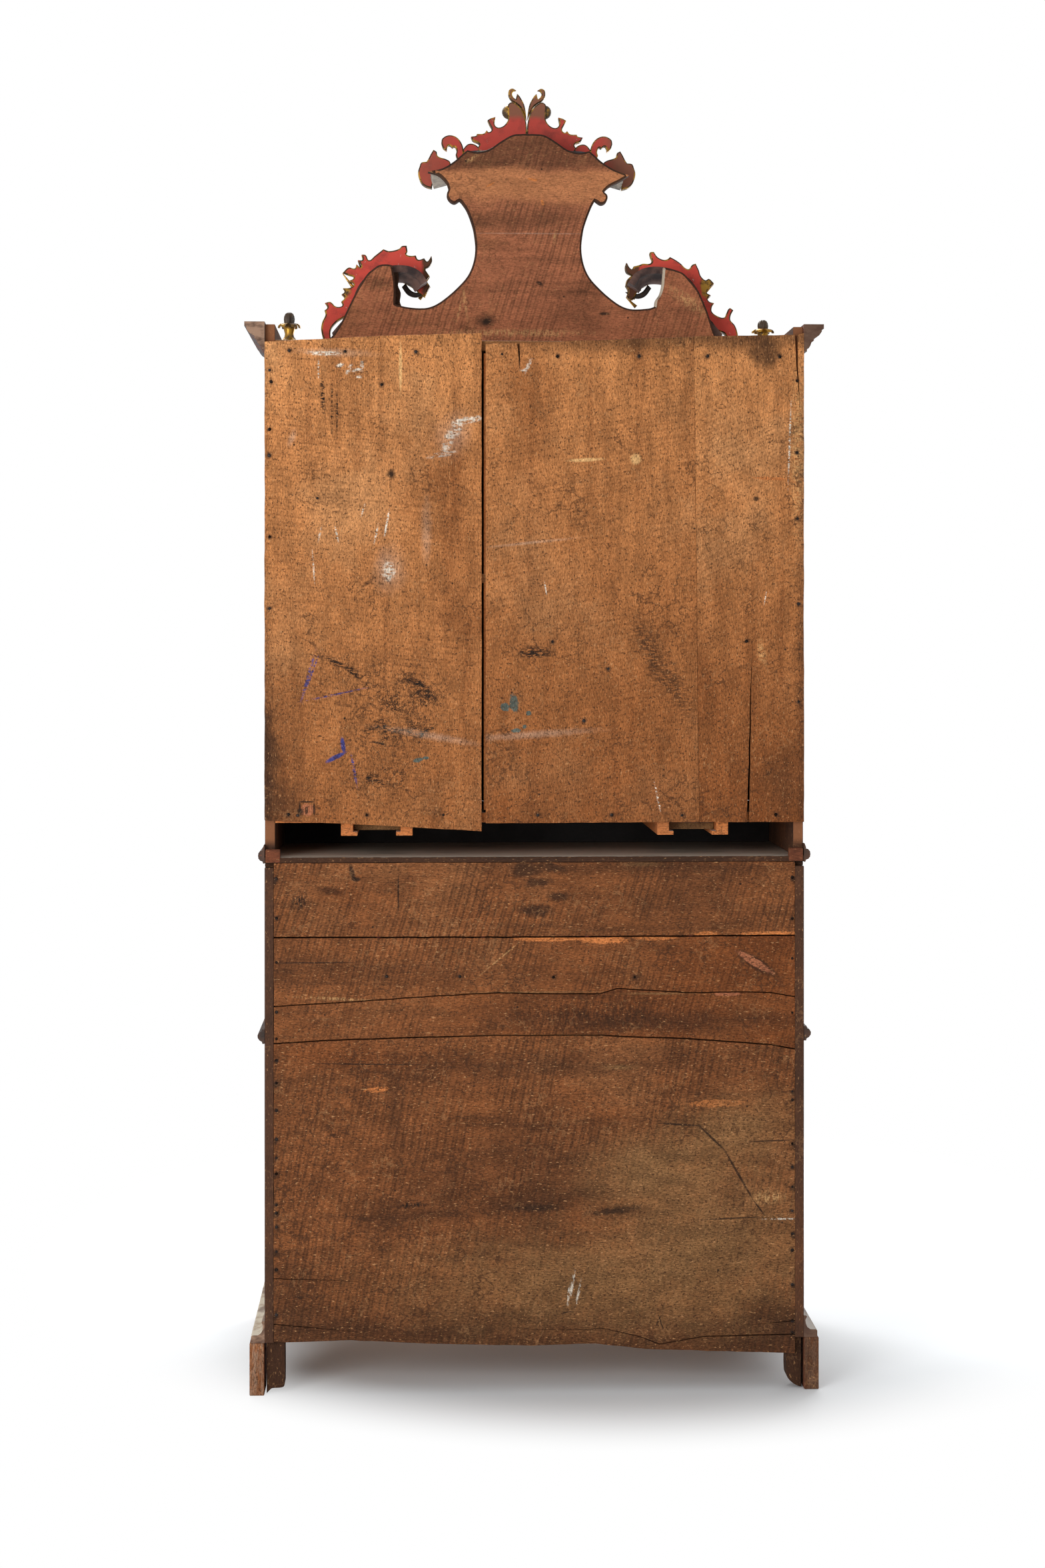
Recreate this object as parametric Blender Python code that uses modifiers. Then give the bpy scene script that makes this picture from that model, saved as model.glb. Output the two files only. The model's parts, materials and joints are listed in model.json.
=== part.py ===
"""Bureau cabinet: a slant-front bureau carrying a two-door upper case with a carved crest.

Metres, +Z up. The front faces -Y and the plain board back faces +Y.
The origin is on the floor, under the middle of the whole cabinet.
"""

import math

import bmesh
import bpy
from mathutils import Matrix, Vector

# Fits
GAP = 0.0003
RUN = 0.0005
REVEAL = 0.0015
BITE = 0.004

# Case
CASE_WIDTH = 1.080
CASE_DEPTH = 0.600
SIDE_THICKNESS = 0.018
BACK_THICKNESS = 0.012
BACK_JOINT_BELOW_WRITING = 0.031
BACK_JOINT_ABOVE_WRITING = 0.174
BACK_BOARD_DROP = 0.016

# Feet and base
FOOT_HEIGHT = 0.105
FOOT_LENGTH = 0.150
FOOT_THICKNESS = 0.032
FOOT_HEEL = 0.058
FOOT_BLOCK_WIDTH = 0.032
FOOT_BLOCK_LIFT = 0.010
BASE_HEIGHT = 0.045
BASE_PROJECTION = 0.030
BASE_FILLET = 0.014

# Drawer tiers, counted upwards
BOARD_THICKNESS = 0.020
LOWER_TIER = 0.235
MIDDLE_TIER = 0.207
TOP_TIER = 0.080
DRAWER_BACK_SPACE = 0.043
DRAWER_FRONT = 0.022
DRAWER_WALL = 0.012
DRAWER_FLOOR = 0.008
DRAWER_SIDE_PLAY = 0.002
DRAWER_TOP_PLAY = 0.012
KNOB_INSET = 0.240
KNOB_LENGTH = 0.026
KNOB_RADIUS = 0.014
KNOB_ROSE_RADIUS = 0.017

# Lopers, which carry the open fall
LOPER_WIDTH = 0.030
LOPER_LENGTH = 0.360
LOPER_GUIDE = 0.014

# Writing compartment
FALL_ANGLE = math.radians(59.0)
FALL_THICKNESS = 0.022
FALL_CLEARANCE = 0.001
INTERIOR_HEIGHT = 0.318
HINGE_PIN_RADIUS = 0.003
HINGE_LENGTH = 0.050
HINGE_LEAF = 0.028
HINGE_INSET = 0.160
PIGEONHOLE_DEPTH = 0.250
PIGEONHOLE_BOARD = 0.008
SMALL_TIER = 0.080
SMALL_BAY = 0.300
SMALL_DRAWER_BACK_SPACE = 0.030
PIGEONHOLES = 5

# Applied side and waist mouldings
LEVEL_MOULDING_HEIGHT = 0.029
LEVEL_MOULDING_PROJECTION = 0.014
LEVEL_MOULDING_DROP = 0.004
WAIST_RISE = 0.025
WAIST_DROP = 0.012
WAIST_PROJECTION = 0.013
WAIST_SETBACK = 0.002

# Upper case
UPPER_HEIGHT = 1.064
UPPER_SIDE = 0.020
SLOT_HEIGHT = 0.068
RAIL_THICKNESS = 0.022
TOP_RECESS = 0.031
BACK_TOP_DROP = 0.028
BACK_BOARD_WIDTH = 0.4355
BACK_JOINT_WIDTH = 0.006
SHELF_HEIGHT = 0.460
SHELF_THICKNESS = 0.018
SHELF_SETBACK = 0.040

# Candle slides and their runners
SLIDE_INSET = 0.223
SLIDE_WIDTH = 0.094
SLIDE_THICKNESS = 0.013
SLIDE_BACK_SPACE = 0.040
RUNNER_WIDTH = 0.024
RUNNER_LEDGE = 0.008
RUNNER_LIP = 0.009
RUNNER_PLAY = 0.005

# Doors
DOOR_THICKNESS = 0.024
DOOR_STILE = 0.075
DOOR_RAIL = 0.085
MIRROR_RISE = 0.070
MIRROR_RECESS = 0.012
MIRROR_THICKNESS = 0.004
ROD_RADIUS = 0.004

# Cornice, finials and crest
CORNICE_HEIGHT = 0.055
CORNICE_PROJECTION = 0.040
CORNICE_FILLET = 0.012
FINIAL_INSET = 0.028
FINIAL_HEIGHT = 0.072
FINIAL_RADIUS = 0.019
CREST_INSET = 0.115
CREST_SETBACK = 0.030
CREST_THICKNESS = 0.025
CREST_MOULDING_DEPTH = 0.050
CREST_MOULDING_THICKNESS = 0.022
LEAF_THICKNESS = 0.020

# Outlines of the crest, half of each: distance from its middle, height above the cornice, corner or not
CORNER = True
SMOOTH = False
CREST_EDGE = [
    (0.425, 0.010, CORNER), (0.385, 0.061, SMOOTH), (0.369, 0.115, SMOOTH), (0.345, 0.142, SMOOTH),
    (0.318, 0.164, SMOOTH), (0.288, 0.166, CORNER), (0.280, 0.122, SMOOTH), (0.283, 0.080, CORNER),
    (0.233, 0.074, SMOOTH), (0.185, 0.085, SMOOTH), (0.131, 0.133, SMOOTH), (0.112, 0.210, SMOOTH),
    (0.122, 0.270, SMOOTH), (0.142, 0.302, CORNER), (0.159, 0.295, SMOOTH), (0.174, 0.314, CORNER),
    (0.173, 0.344, CORNER), (0.214, 0.362, CORNER), (0.179, 0.373, SMOOTH), (0.155, 0.385, SMOOTH),
    (0.136, 0.410, CORNER), (0.088, 0.415, CORNER), (0.040, 0.440, SMOOTH), (0.000, 0.445, SMOOTH),
]
SWAN_PATH = [
    (0.410, 0.65 * CREST_MOULDING_THICKNESS), (0.373, 0.062), (0.355, 0.112), (0.333, 0.138),
    (0.300, 0.153), (0.258, 0.150), (0.226, 0.126), (0.219, 0.100),
]
CAP_PATH = [
    (0.203, 0.350), (0.172, 0.360), (0.147, 0.374), (0.126, 0.397),
    (0.084, 0.402), (0.036, 0.427), (0.000, 0.432),
]
HUMP_LEAF = [
    (0.410, 0.012, CORNER), (0.437, 0.014, SMOOTH), (0.432, 0.084, CORNER), (0.408, 0.094, SMOOTH),
    (0.396, 0.117, CORNER), (0.388, 0.130, SMOOTH), (0.396, 0.150, CORNER), (0.374, 0.160, SMOOTH),
    (0.354, 0.187, CORNER), (0.330, 0.186, SMOOTH), (0.305, 0.201, CORNER), (0.282, 0.193, SMOOTH),
    (0.257, 0.203, CORNER), (0.238, 0.186, SMOOTH), (0.206, 0.183, CORNER), (0.215, 0.158, SMOOTH),
    (0.208, 0.136, CORNER), (0.219, 0.116, SMOOTH), (0.223, 0.095, CORNER), (0.245, 0.126, SMOOTH),
    (0.285, 0.143, SMOOTH), (0.325, 0.128, SMOOTH), (0.352, 0.096, SMOOTH), (0.374, 0.052, SMOOTH),
]
TOP_LEAF = [
    (0.001, 0.424, CORNER), (0.002, 0.476, SMOOTH), (0.004, 0.490, SMOOTH), (0.017, 0.528, CORNER),
    (0.025, 0.516, SMOOTH), (0.021, 0.538, CORNER), (0.030, 0.540, SMOOTH), (0.038, 0.529, SMOOTH),
    (0.035, 0.512, CORNER), (0.051, 0.490, SMOOTH), (0.043, 0.472, CORNER), (0.047, 0.460, SMOOTH),
    (0.062, 0.455, CORNER), (0.067, 0.478, CORNER), (0.082, 0.470, SMOOTH), (0.076, 0.452, CORNER),
    (0.119, 0.437, CORNER), (0.106, 0.425, SMOOTH), (0.128, 0.418, CORNER), (0.150, 0.433, SMOOTH),
    (0.168, 0.434, SMOOTH), (0.181, 0.424, SMOOTH), (0.170, 0.403, CORNER), (0.166, 0.418, SMOOTH),
    (0.153, 0.420, SMOOTH), (0.147, 0.404, SMOOTH), (0.152, 0.394, CORNER), (0.181, 0.390, SMOOTH),
    (0.198, 0.405, CORNER), (0.212, 0.385, SMOOTH), (0.229, 0.366, SMOOTH), (0.226, 0.342, SMOOTH),
    (0.203, 0.327, CORNER), (0.202, 0.352, SMOOTH), (0.176, 0.360, SMOOTH), (0.149, 0.374, SMOOTH),
    (0.128, 0.396, SMOOTH), (0.086, 0.401, SMOOTH), (0.036, 0.422, SMOOTH),
]

# Places worked out from the sizes above
HALF_WIDTH = CASE_WIDTH / 2
INNER_HALF = HALF_WIDTH - SIDE_THICKNESS
KNOB_SPREAD = HALF_WIDTH - KNOB_INSET
HINGE_SPREAD = HALF_WIDTH - HINGE_INSET
SLIDE_SPREAD = HALF_WIDTH - SLIDE_INSET
FINIAL_SPREAD = HALF_WIDTH - FINIAL_INSET
BACK_JOINT_X = HALF_WIDTH - BACK_BOARD_WIDTH - BACK_JOINT_WIDTH / 2
CREST_STRETCH = (HALF_WIDTH - CREST_INSET) / CREST_EDGE[0][0]
BACK_Y = (CASE_DEPTH + BASE_PROJECTION) / 2
FRONT_Y = BACK_Y - CASE_DEPTH
BACK_FACE_Y = BACK_Y - BACK_THICKNESS - GAP
FLOOR_Z = FOOT_HEIGHT + BASE_HEIGHT
LOWER_DIVIDER_Z = FLOOR_Z + LOWER_TIER
MIDDLE_Z = LOWER_DIVIDER_Z + BOARD_THICKNESS
UPPER_DIVIDER_Z = MIDDLE_Z + MIDDLE_TIER
TOP_TIER_Z = UPPER_DIVIDER_Z + BOARD_THICKNESS
WRITING_UNDER_Z = TOP_TIER_Z + TOP_TIER
WRITING_Z = WRITING_UNDER_Z + FALL_THICKNESS
BUREAU_TOP_UNDER_Z = WRITING_Z + INTERIOR_HEIGHT
BUREAU_TOP_Z = BUREAU_TOP_UNDER_Z + BOARD_THICKNESS
PIVOT_Y = FRONT_Y - FALL_CLEARANCE
SLANT_TOP_Y = FRONT_Y + (BUREAU_TOP_Z - WRITING_Z) / math.tan(FALL_ANGLE)
UPPER_FRONT_Y = SLANT_TOP_Y + WAIST_SETBACK + WAIST_PROJECTION
UPPER_INNER = HALF_WIDTH - UPPER_SIDE
UPPER_Z = BUREAU_TOP_Z + GAP
UPPER_TOP_Z = BUREAU_TOP_Z + UPPER_HEIGHT
CUPBOARD_UNDER_Z = BUREAU_TOP_Z + SLOT_HEIGHT
CUPBOARD_FLOOR_Z = CUPBOARD_UNDER_Z + BOARD_THICKNESS
CEILING_Z = UPPER_TOP_Z - TOP_RECESS - BOARD_THICKNESS
CORNICE_TOP_Z = CEILING_Z + CORNICE_HEIGHT
RUNNER_HEIGHT = RUNNER_LEDGE + SLIDE_THICKNESS + RUNNER_PLAY
SLIDE_Z = CUPBOARD_UNDER_Z - RUNNER_HEIGHT + RUNNER_LEDGE + RUN
LOPER_BAY = LOPER_WIDTH + 2 * RUN
GUIDE_HALF = INNER_HALF - LOPER_BAY - LOPER_GUIDE

# Finishes: colour, roughness, metallic
WORN_PINE = ((0.30, 0.14, 0.055), 0.75, 0.0)
DARK_PINE = ((0.14, 0.065, 0.03), 0.8, 0.0)
LACQUER = ((0.055, 0.022, 0.02), 0.35, 0.0)
RED_BROWN = ((0.16, 0.05, 0.03), 0.5, 0.0)
SLATE = ((0.045, 0.045, 0.048), 0.55, 0.0)
PAINTED_STONE = ((0.42, 0.36, 0.27), 0.6, 0.0)
RED_GILT = ((0.48, 0.09, 0.06), 0.6, 0.0)
GILT = ((0.55, 0.33, 0.08), 0.4, 0.9)
BRASS = ((0.60, 0.42, 0.14), 0.35, 1.0)
IRON = ((0.08, 0.075, 0.07), 0.5, 1.0)
SILVERED = ((0.75, 0.76, 0.76), 0.06, 1.0)

# Turns that stand a flat outline up
FACING_FRONT = (math.pi / 2, 0.0, 0.0)
FACING_SIDE = (math.pi / 2, 0.0, math.pi / 2)


def make_collection(name):
    """A new collection in the scene."""
    group = bpy.data.collections.new(name)
    bpy.context.scene.collection.children.link(group)
    return group


def add_part(name, mesh, finish, location=(0, 0, 0), rotation=(0, 0, 0)):
    """Place a mesh as a named part with its own material."""
    colour, roughness, metallic = finish
    material = bpy.data.materials.new(name + "_finish")
    material.use_nodes = True
    shader = material.node_tree.nodes["Principled BSDF"]
    shader.inputs["Base Color"].default_value = (*colour, 1.0)
    shader.inputs["Roughness"].default_value = roughness
    shader.inputs["Metallic"].default_value = metallic
    mesh.materials.append(material)
    part = bpy.data.objects.new(name, mesh)
    part.location = location
    part.rotation_euler = rotation
    PARTS.objects.link(part)
    return part


def add_cutter(mesh, location=(0, 0, 0), rotation=(0, 0, 0)):
    """Place a mesh that only shapes other parts."""
    cutter = bpy.data.objects.new("shaper", mesh)
    cutter.location = location
    cutter.rotation_euler = rotation
    cutter.hide_render = True
    cutter.display_type = "WIRE"
    CUTTERS.objects.link(cutter)
    return cutter


def combine(part, cutter, operation):
    """Cut a shape out of a part, or join a shape to it."""
    modifier = part.modifiers.new(operation.lower(), "BOOLEAN")
    modifier.operation = operation
    modifier.object = cutter


def box_mesh(low, high):
    """A box mesh about its own middle, and where that middle is."""
    low = Vector(low)
    high = Vector(high)
    bm = bmesh.new()
    bmesh.ops.create_cube(bm, size=1.0, matrix=Matrix.Diagonal((*(high - low), 1.0)))
    mesh = bpy.data.meshes.new("box")
    bm.to_mesh(mesh)
    bm.free()
    return mesh, (low + high) / 2


def board(name, low, high, finish):
    """A plain board between two corners."""
    mesh, middle = box_mesh(low, high)
    return add_part(name, mesh, finish, middle)


def shape_box(part, low, high, operation="DIFFERENCE"):
    """Cut a box out of a part, or join a box to it."""
    mesh, middle = box_mesh(low, high)
    combine(part, add_cutter(mesh, middle), operation)


def rod_mesh(radius, length, sides):
    """A plain rod along X about its own middle."""
    bm = bmesh.new()
    turn = Matrix.Rotation(math.pi / 2, 4, "Y")
    ends = {"radius1": radius, "radius2": radius}
    bmesh.ops.create_cone(bm, cap_ends=True, segments=sides, depth=length, matrix=turn, **ends)
    mesh = bpy.data.meshes.new("rod")
    bm.to_mesh(mesh)
    bm.free()
    return mesh


def curve_to_mesh(curve):
    """The welded mesh of a curve."""
    guide = bpy.data.objects.new("guide", curve)
    CUTTERS.objects.link(guide)
    evaluated = guide.evaluated_get(bpy.context.evaluated_depsgraph_get())
    mesh = bpy.data.meshes.new_from_object(evaluated)
    mesh.materials.clear()
    bpy.data.objects.remove(guide)
    bm = bmesh.new()
    bm.from_mesh(mesh)
    bmesh.ops.remove_doubles(bm, verts=bm.verts, dist=0.00002)
    bmesh.ops.recalc_face_normals(bm, faces=bm.faces)
    bm.to_mesh(mesh)
    bm.free()
    return mesh


def outline_mesh(points, thickness, resolution=3):
    """A flat outline given a thickness. A point is across, up, and whether it is a corner."""
    curve = bpy.data.curves.new("outline", "CURVE")
    curve.dimensions = "2D"
    curve.fill_mode = "BOTH"
    curve.extrude = thickness / 2
    curve.resolution_u = resolution
    spline = curve.splines.new("BEZIER")
    spline.bezier_points.add(len(points) - 1)
    for knot, (across, up, corner) in zip(spline.bezier_points, points):
        kind = "VECTOR" if corner else "AUTO"
        knot.co = (across, up, 0.0)
        knot.handle_left_type = kind
        knot.handle_right_type = kind
    spline.use_cyclic_u = True
    return curve_to_mesh(curve)


def sharp(points):
    """Outline points that are all corners."""
    return [(across, up, CORNER) for across, up in points]


def sawn_outline_mesh(points, thickness):
    """A straight-edged outline given a thickness."""
    return outline_mesh(sharp(points), thickness, resolution=1)


def ribbon_mesh(path, depth, thickness):
    """A moulding of rounded section along a path."""
    curve = bpy.data.curves.new("ribbon", "CURVE")
    curve.dimensions = "3D"
    curve.twist_mode = "Z_UP"
    curve.resolution_u = 4
    curve.bevel_depth = thickness / 2
    curve.bevel_resolution = 1
    curve.extrude = (depth - thickness) / 2
    curve.use_fill_caps = True
    spline = curve.splines.new("BEZIER")
    spline.bezier_points.add(len(path) - 1)
    for knot, (across, up) in zip(spline.bezier_points, path):
        knot.co = (across, up, 0.0)
        knot.handle_left_type = "AUTO"
        knot.handle_right_type = "AUTO"
    return curve_to_mesh(curve)


def turned_part(name, profile, finish, location, rotation=(0, 0, 0), steps=16):
    """A turned piece from a profile of radius and height, listed from the top down."""
    mesh = bpy.data.meshes.new(name)
    edges = [(i, i + 1) for i in range(len(profile) - 1)]
    mesh.from_pydata([(radius, 0.0, height) for radius, height in profile], edges, [])
    part = add_part(name, mesh, finish, location, rotation)
    screw = part.modifiers.new("turning", "SCREW")
    screw.axis = "Z"
    screw.steps = steps
    screw.render_steps = steps
    screw.use_merge_vertices = True
    screw.merge_threshold = 0.00001
    screw.use_smooth_shade = True
    return part


def cyma(start, end, steps=6):
    """An S-shaped moulding run between two profile points."""
    run = []
    for i in range(steps + 1):
        share = i / steps
        swell = share - math.sin(2 * math.pi * share) / (2 * math.pi)
        out = start[0] + (end[0] - start[0]) * swell
        run.append((out, start[1] + (end[1] - start[1]) * share))
    return run


def half_round(projection, low, high, steps=6):
    """A nosed moulding section that stands out from a wall."""
    middle = (low + high) / 2
    reach = (high - low) / 2
    run = []
    for i in range(steps + 1):
        angle = math.pi * (i / steps - 0.5)
        run.append((projection * math.cos(angle), middle + reach * math.sin(angle)))
    return run


def mitred_moulding(name, profile, half_width, front_y, back_y, finish):
    """A moulding run along one side, round the front and along the other side, mitred at the corners."""
    bm = bmesh.new()
    rings = []
    for side, at_front in ((-1, False), (-1, True), (1, True), (1, False)):
        ring = []
        for out, up in profile:
            depth = front_y - out if at_front else back_y
            ring.append(bm.verts.new((side * (half_width + out), depth, up)))
        rings.append(ring)
    count = len(profile)
    for ring, following in zip(rings, rings[1:]):
        for i in range(count):
            j = (i + 1) % count
            bm.faces.new((ring[i], ring[j], following[j], following[i]))
    bm.faces.new(rings[0])
    bm.faces.new(rings[-1])
    bmesh.ops.recalc_face_normals(bm, faces=bm.faces)
    mesh = bpy.data.meshes.new(name)
    bm.to_mesh(mesh)
    bm.free()
    return add_part(name, mesh, finish)


def hang_on(axis_name, location, parts):
    """Parent the parts to an empty that stands on their joint's axis."""
    axis = bpy.data.objects.new(axis_name, None)
    axis.empty_display_size = 0.05
    axis.location = location
    PARTS.objects.link(axis)
    for part in parts:
        part.parent = axis
        part.matrix_parent_inverse = Matrix.Translation(location).inverted()


def mirrored(points, side):
    """Crest points set at their real height, on one side of the middle."""
    reach = side * CREST_STRETCH
    placed = [(reach * point[0], CORNICE_TOP_Z + point[1], *point[2:]) for point in points]
    return placed if side > 0 else placed[::-1]


def side_name(side):
    """Left and right as seen by someone facing the front."""
    return "right" if side > 0 else "left"


def drawer(name, low, high, back, finish):
    """A drawer: its front panel, and behind it a box that is open at the top."""
    low_x, front_y, low_z = low
    high_x, high_z = high
    part = board(name, (low_x, front_y, low_z), (high_x, front_y + DRAWER_FRONT, high_z), finish)
    box_low_x = low_x + DRAWER_SIDE_PLAY
    box_high_x = high_x - DRAWER_SIDE_PLAY
    box_top = high_z - DRAWER_TOP_PLAY
    overlap = front_y + DRAWER_FRONT / 2
    shape_box(part, (box_low_x, overlap, low_z), (box_high_x, back, box_top), "UNION")
    hollow_low = (box_low_x + DRAWER_WALL, front_y + DRAWER_FRONT, low_z + DRAWER_FLOOR)
    hollow_high = (box_high_x - DRAWER_WALL, back - DRAWER_WALL, high_z + DRAWER_TOP_PLAY)
    shape_box(part, hollow_low, hollow_high)
    return part


def build_bureau_case():
    """Sides, bottom, top, writing board, dividers and back of the bureau."""
    side_outline = [
        (BACK_Y, FOOT_HEIGHT), (FRONT_Y, FOOT_HEIGHT), (FRONT_Y, WRITING_Z),
        (SLANT_TOP_Y - BOARD_THICKNESS / math.tan(FALL_ANGLE), BUREAU_TOP_UNDER_Z - GAP),
        (BACK_Y, BUREAU_TOP_UNDER_Z - GAP),
    ]
    for side in (-1, 1):
        middle = side * (HALF_WIDTH - SIDE_THICKNESS / 2)
        mesh = sawn_outline_mesh(side_outline, SIDE_THICKNESS)
        add_part("bureau_side_" + side_name(side), mesh, LACQUER, (middle, 0, 0), FACING_SIDE)
    top_outline = [
        (BACK_Y, BUREAU_TOP_UNDER_Z),
        (SLANT_TOP_Y - BOARD_THICKNESS / math.tan(FALL_ANGLE), BUREAU_TOP_UNDER_Z),
        (SLANT_TOP_Y, BUREAU_TOP_Z), (BACK_Y, BUREAU_TOP_Z),
    ]
    add_part("bureau_top", sawn_outline_mesh(top_outline, CASE_WIDTH), DARK_PINE, (0, 0, 0), FACING_SIDE)
    reach = INNER_HALF - GAP
    shelf_levels = [
        ("bureau_bottom", FLOOR_Z - BOARD_THICKNESS, FLOOR_Z),
        ("drawer_divider_lower", LOWER_DIVIDER_Z, MIDDLE_Z),
        ("drawer_divider_upper", UPPER_DIVIDER_Z, TOP_TIER_Z),
        ("writing_board", WRITING_UNDER_Z, WRITING_Z),
    ]
    levels = {}
    for name, low, high in shelf_levels:
        levels[name] = board(name, (-reach, FRONT_Y, low), (reach, BACK_FACE_Y, high), DARK_PINE)
    for side in (-1, 1):
        edges = sorted((side * GUIDE_HALF, side * (GUIDE_HALF + LOPER_GUIDE)))
        low = (edges[0], FRONT_Y, TOP_TIER_Z - BITE)
        high = (edges[1], BACK_FACE_Y, WRITING_UNDER_Z - GAP)
        shape_box(levels["drawer_divider_upper"], low, high, "UNION")
        recess_half = HINGE_LENGTH / 2 + RUN
        middle = side * HINGE_SPREAD
        recess_low = (middle - recess_half, FRONT_Y - BITE, WRITING_Z - HINGE_PIN_RADIUS - RUN)
        recess_high = (middle + recess_half, FRONT_Y + HINGE_LEAF + RUN, WRITING_Z + BITE)
        shape_box(levels["writing_board"], recess_low, recess_high)


def build_bureau_back():
    """Three wide horizontal boards between the bureau's sides."""
    reach = INNER_HALF - GAP
    lower_joint = WRITING_Z - BACK_JOINT_BELOW_WRITING
    upper_joint = WRITING_Z + BACK_JOINT_ABOVE_WRITING
    spans = [
        ("bureau_back_board_lower", FOOT_HEIGHT - BACK_BOARD_DROP, lower_joint),
        ("bureau_back_board_middle", lower_joint + GAP, upper_joint),
        ("bureau_back_board_upper", upper_joint + GAP, BUREAU_TOP_UNDER_Z - GAP),
    ]
    for name, low, high in spans:
        board(name, (-reach, BACK_Y - BACK_THICKNESS, low), (reach, BACK_Y, high), DARK_PINE)


def build_drawers():
    """Two long drawers with knobs, and a shallow one between the lopers."""
    long_half = INNER_HALF - REVEAL
    top_half = GUIDE_HALF - REVEAL
    tiers = [
        ("long_drawer_lower", long_half, FLOOR_Z, LOWER_TIER, True),
        ("long_drawer_middle", long_half, MIDDLE_Z, MIDDLE_TIER, True),
        ("top_drawer", top_half, TOP_TIER_Z, TOP_TIER, False),
    ]
    for name, half, low_z, height, has_knobs in tiers:
        low = (-half, FRONT_Y, low_z + RUN)
        high = (half, low_z + height - REVEAL)
        drawer(name, low, high, BACK_FACE_Y - DRAWER_BACK_SPACE, LACQUER)
        if has_knobs:
            build_knobs(name, low_z + height / 2)


def build_knobs(drawer_name, height):
    """A pair of turned brass knobs on a drawer front."""
    neck = KNOB_RADIUS * 0.5
    rose = KNOB_LENGTH * 0.12
    profile = [
        (0.0, KNOB_LENGTH), (KNOB_RADIUS * 0.6, KNOB_LENGTH * 0.95), (KNOB_RADIUS, KNOB_LENGTH * 0.72),
        (KNOB_RADIUS * 0.8, KNOB_LENGTH * 0.5), (neck, KNOB_LENGTH * 0.36), (neck, rose * 1.6),
        (KNOB_ROSE_RADIUS, rose), (KNOB_ROSE_RADIUS, 0.0), (0.0, 0.0),
    ]
    for side in (-1, 1):
        place = (side * KNOB_SPREAD, FRONT_Y - GAP, height)
        turned_part(drawer_name + "_knob_" + side_name(side), profile, BRASS, place, FACING_FRONT, steps=12)


def build_lopers():
    """The two bearers that slide out beside the top drawer."""
    for side in (-1, 1):
        edges = sorted((side * (INNER_HALF - RUN), side * (INNER_HALF - RUN - LOPER_WIDTH)))
        low = (edges[0], FRONT_Y, TOP_TIER_Z + RUN)
        high = (edges[1], FRONT_Y + LOPER_LENGTH, WRITING_UNDER_Z - RUN)
        board("loper_" + side_name(side), low, high, LACQUER)


def build_fall():
    """The slanted writing flap, hinged to the front edge of the writing board."""
    along = Vector((math.cos(FALL_ANGLE), math.sin(FALL_ANGLE)))
    outward = Vector((-math.sin(FALL_ANGLE), math.cos(FALL_ANGLE)))
    rise = BUREAU_TOP_Z - WRITING_Z - FALL_CLEARANCE - FALL_THICKNESS * math.cos(FALL_ANGLE)
    length = rise / math.sin(FALL_ANGLE)
    foot = Vector((PIVOT_Y, WRITING_Z))
    corners = [foot, foot + outward * FALL_THICKNESS, foot + outward * FALL_THICKNESS + along * length,
               foot + along * length]
    mesh = sawn_outline_mesh([tuple(corner) for corner in corners], CASE_WIDTH - 2 * FALL_CLEARANCE)
    fall = add_part("fall_front", mesh, LACQUER, (0, 0, 0), FACING_SIDE)
    for side in (-1, 1):
        axis = (side * HINGE_SPREAD, PIVOT_Y, WRITING_Z)
        notch = rod_mesh(HINGE_PIN_RADIUS + 2 * RUN, HINGE_LENGTH + 2 * RUN, 12)
        combine(fall, add_cutter(notch, axis), "DIFFERENCE")
        pin_mesh = rod_mesh(HINGE_PIN_RADIUS, HINGE_LENGTH, 12)
        pin = add_part("fall_hinge_" + side_name(side), pin_mesh, BRASS, axis)
        leaf_low = (axis[0] - HINGE_LENGTH / 2, PIVOT_Y, WRITING_Z - HINGE_PIN_RADIUS * 0.9)
        leaf_high = (axis[0] + HINGE_LENGTH / 2, FRONT_Y + HINGE_LEAF, WRITING_Z - RUN)
        shape_box(pin, leaf_low, leaf_high, "UNION")
    hang_on("fall_axis", (0, PIVOT_Y, WRITING_Z), [fall])


def build_writing_interior():
    """Pigeonholes and two small drawers behind the fall."""
    reach = INNER_HALF - GAP
    front = BACK_FACE_Y - PIGEONHOLE_DEPTH
    back = BACK_FACE_Y - GAP
    shelf_z = WRITING_Z + SMALL_TIER
    low = (-reach, front, shelf_z)
    unit = board("pigeonhole_unit", low, (reach, back, shelf_z + PIGEONHOLE_BOARD), RED_BROWN)
    bay_edge = INNER_HALF - SMALL_BAY
    half = PIGEONHOLE_BOARD / 2
    for side in (-1, 1):
        middle = side * bay_edge
        low = (middle - half, front, WRITING_Z + GAP)
        shape_box(unit, low, (middle + half, back, shelf_z + PIGEONHOLE_BOARD / 2), "UNION")
    for i in range(1, PIGEONHOLES):
        middle = -INNER_HALF + 2 * INNER_HALF * i / PIGEONHOLES
        low = (middle - half, front, shelf_z + PIGEONHOLE_BOARD / 2)
        shape_box(unit, low, (middle + half, back, BUREAU_TOP_UNDER_Z - GAP), "UNION")
    for side in (-1, 1):
        edges = sorted((side * (INNER_HALF - REVEAL), side * (bay_edge + half + REVEAL)))
        low = (edges[0], front, WRITING_Z + RUN)
        high = (edges[1], shelf_z - REVEAL)
        drawer("small_drawer_" + side_name(side), low, high, back - SMALL_DRAWER_BACK_SPACE, RED_BROWN)


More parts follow.
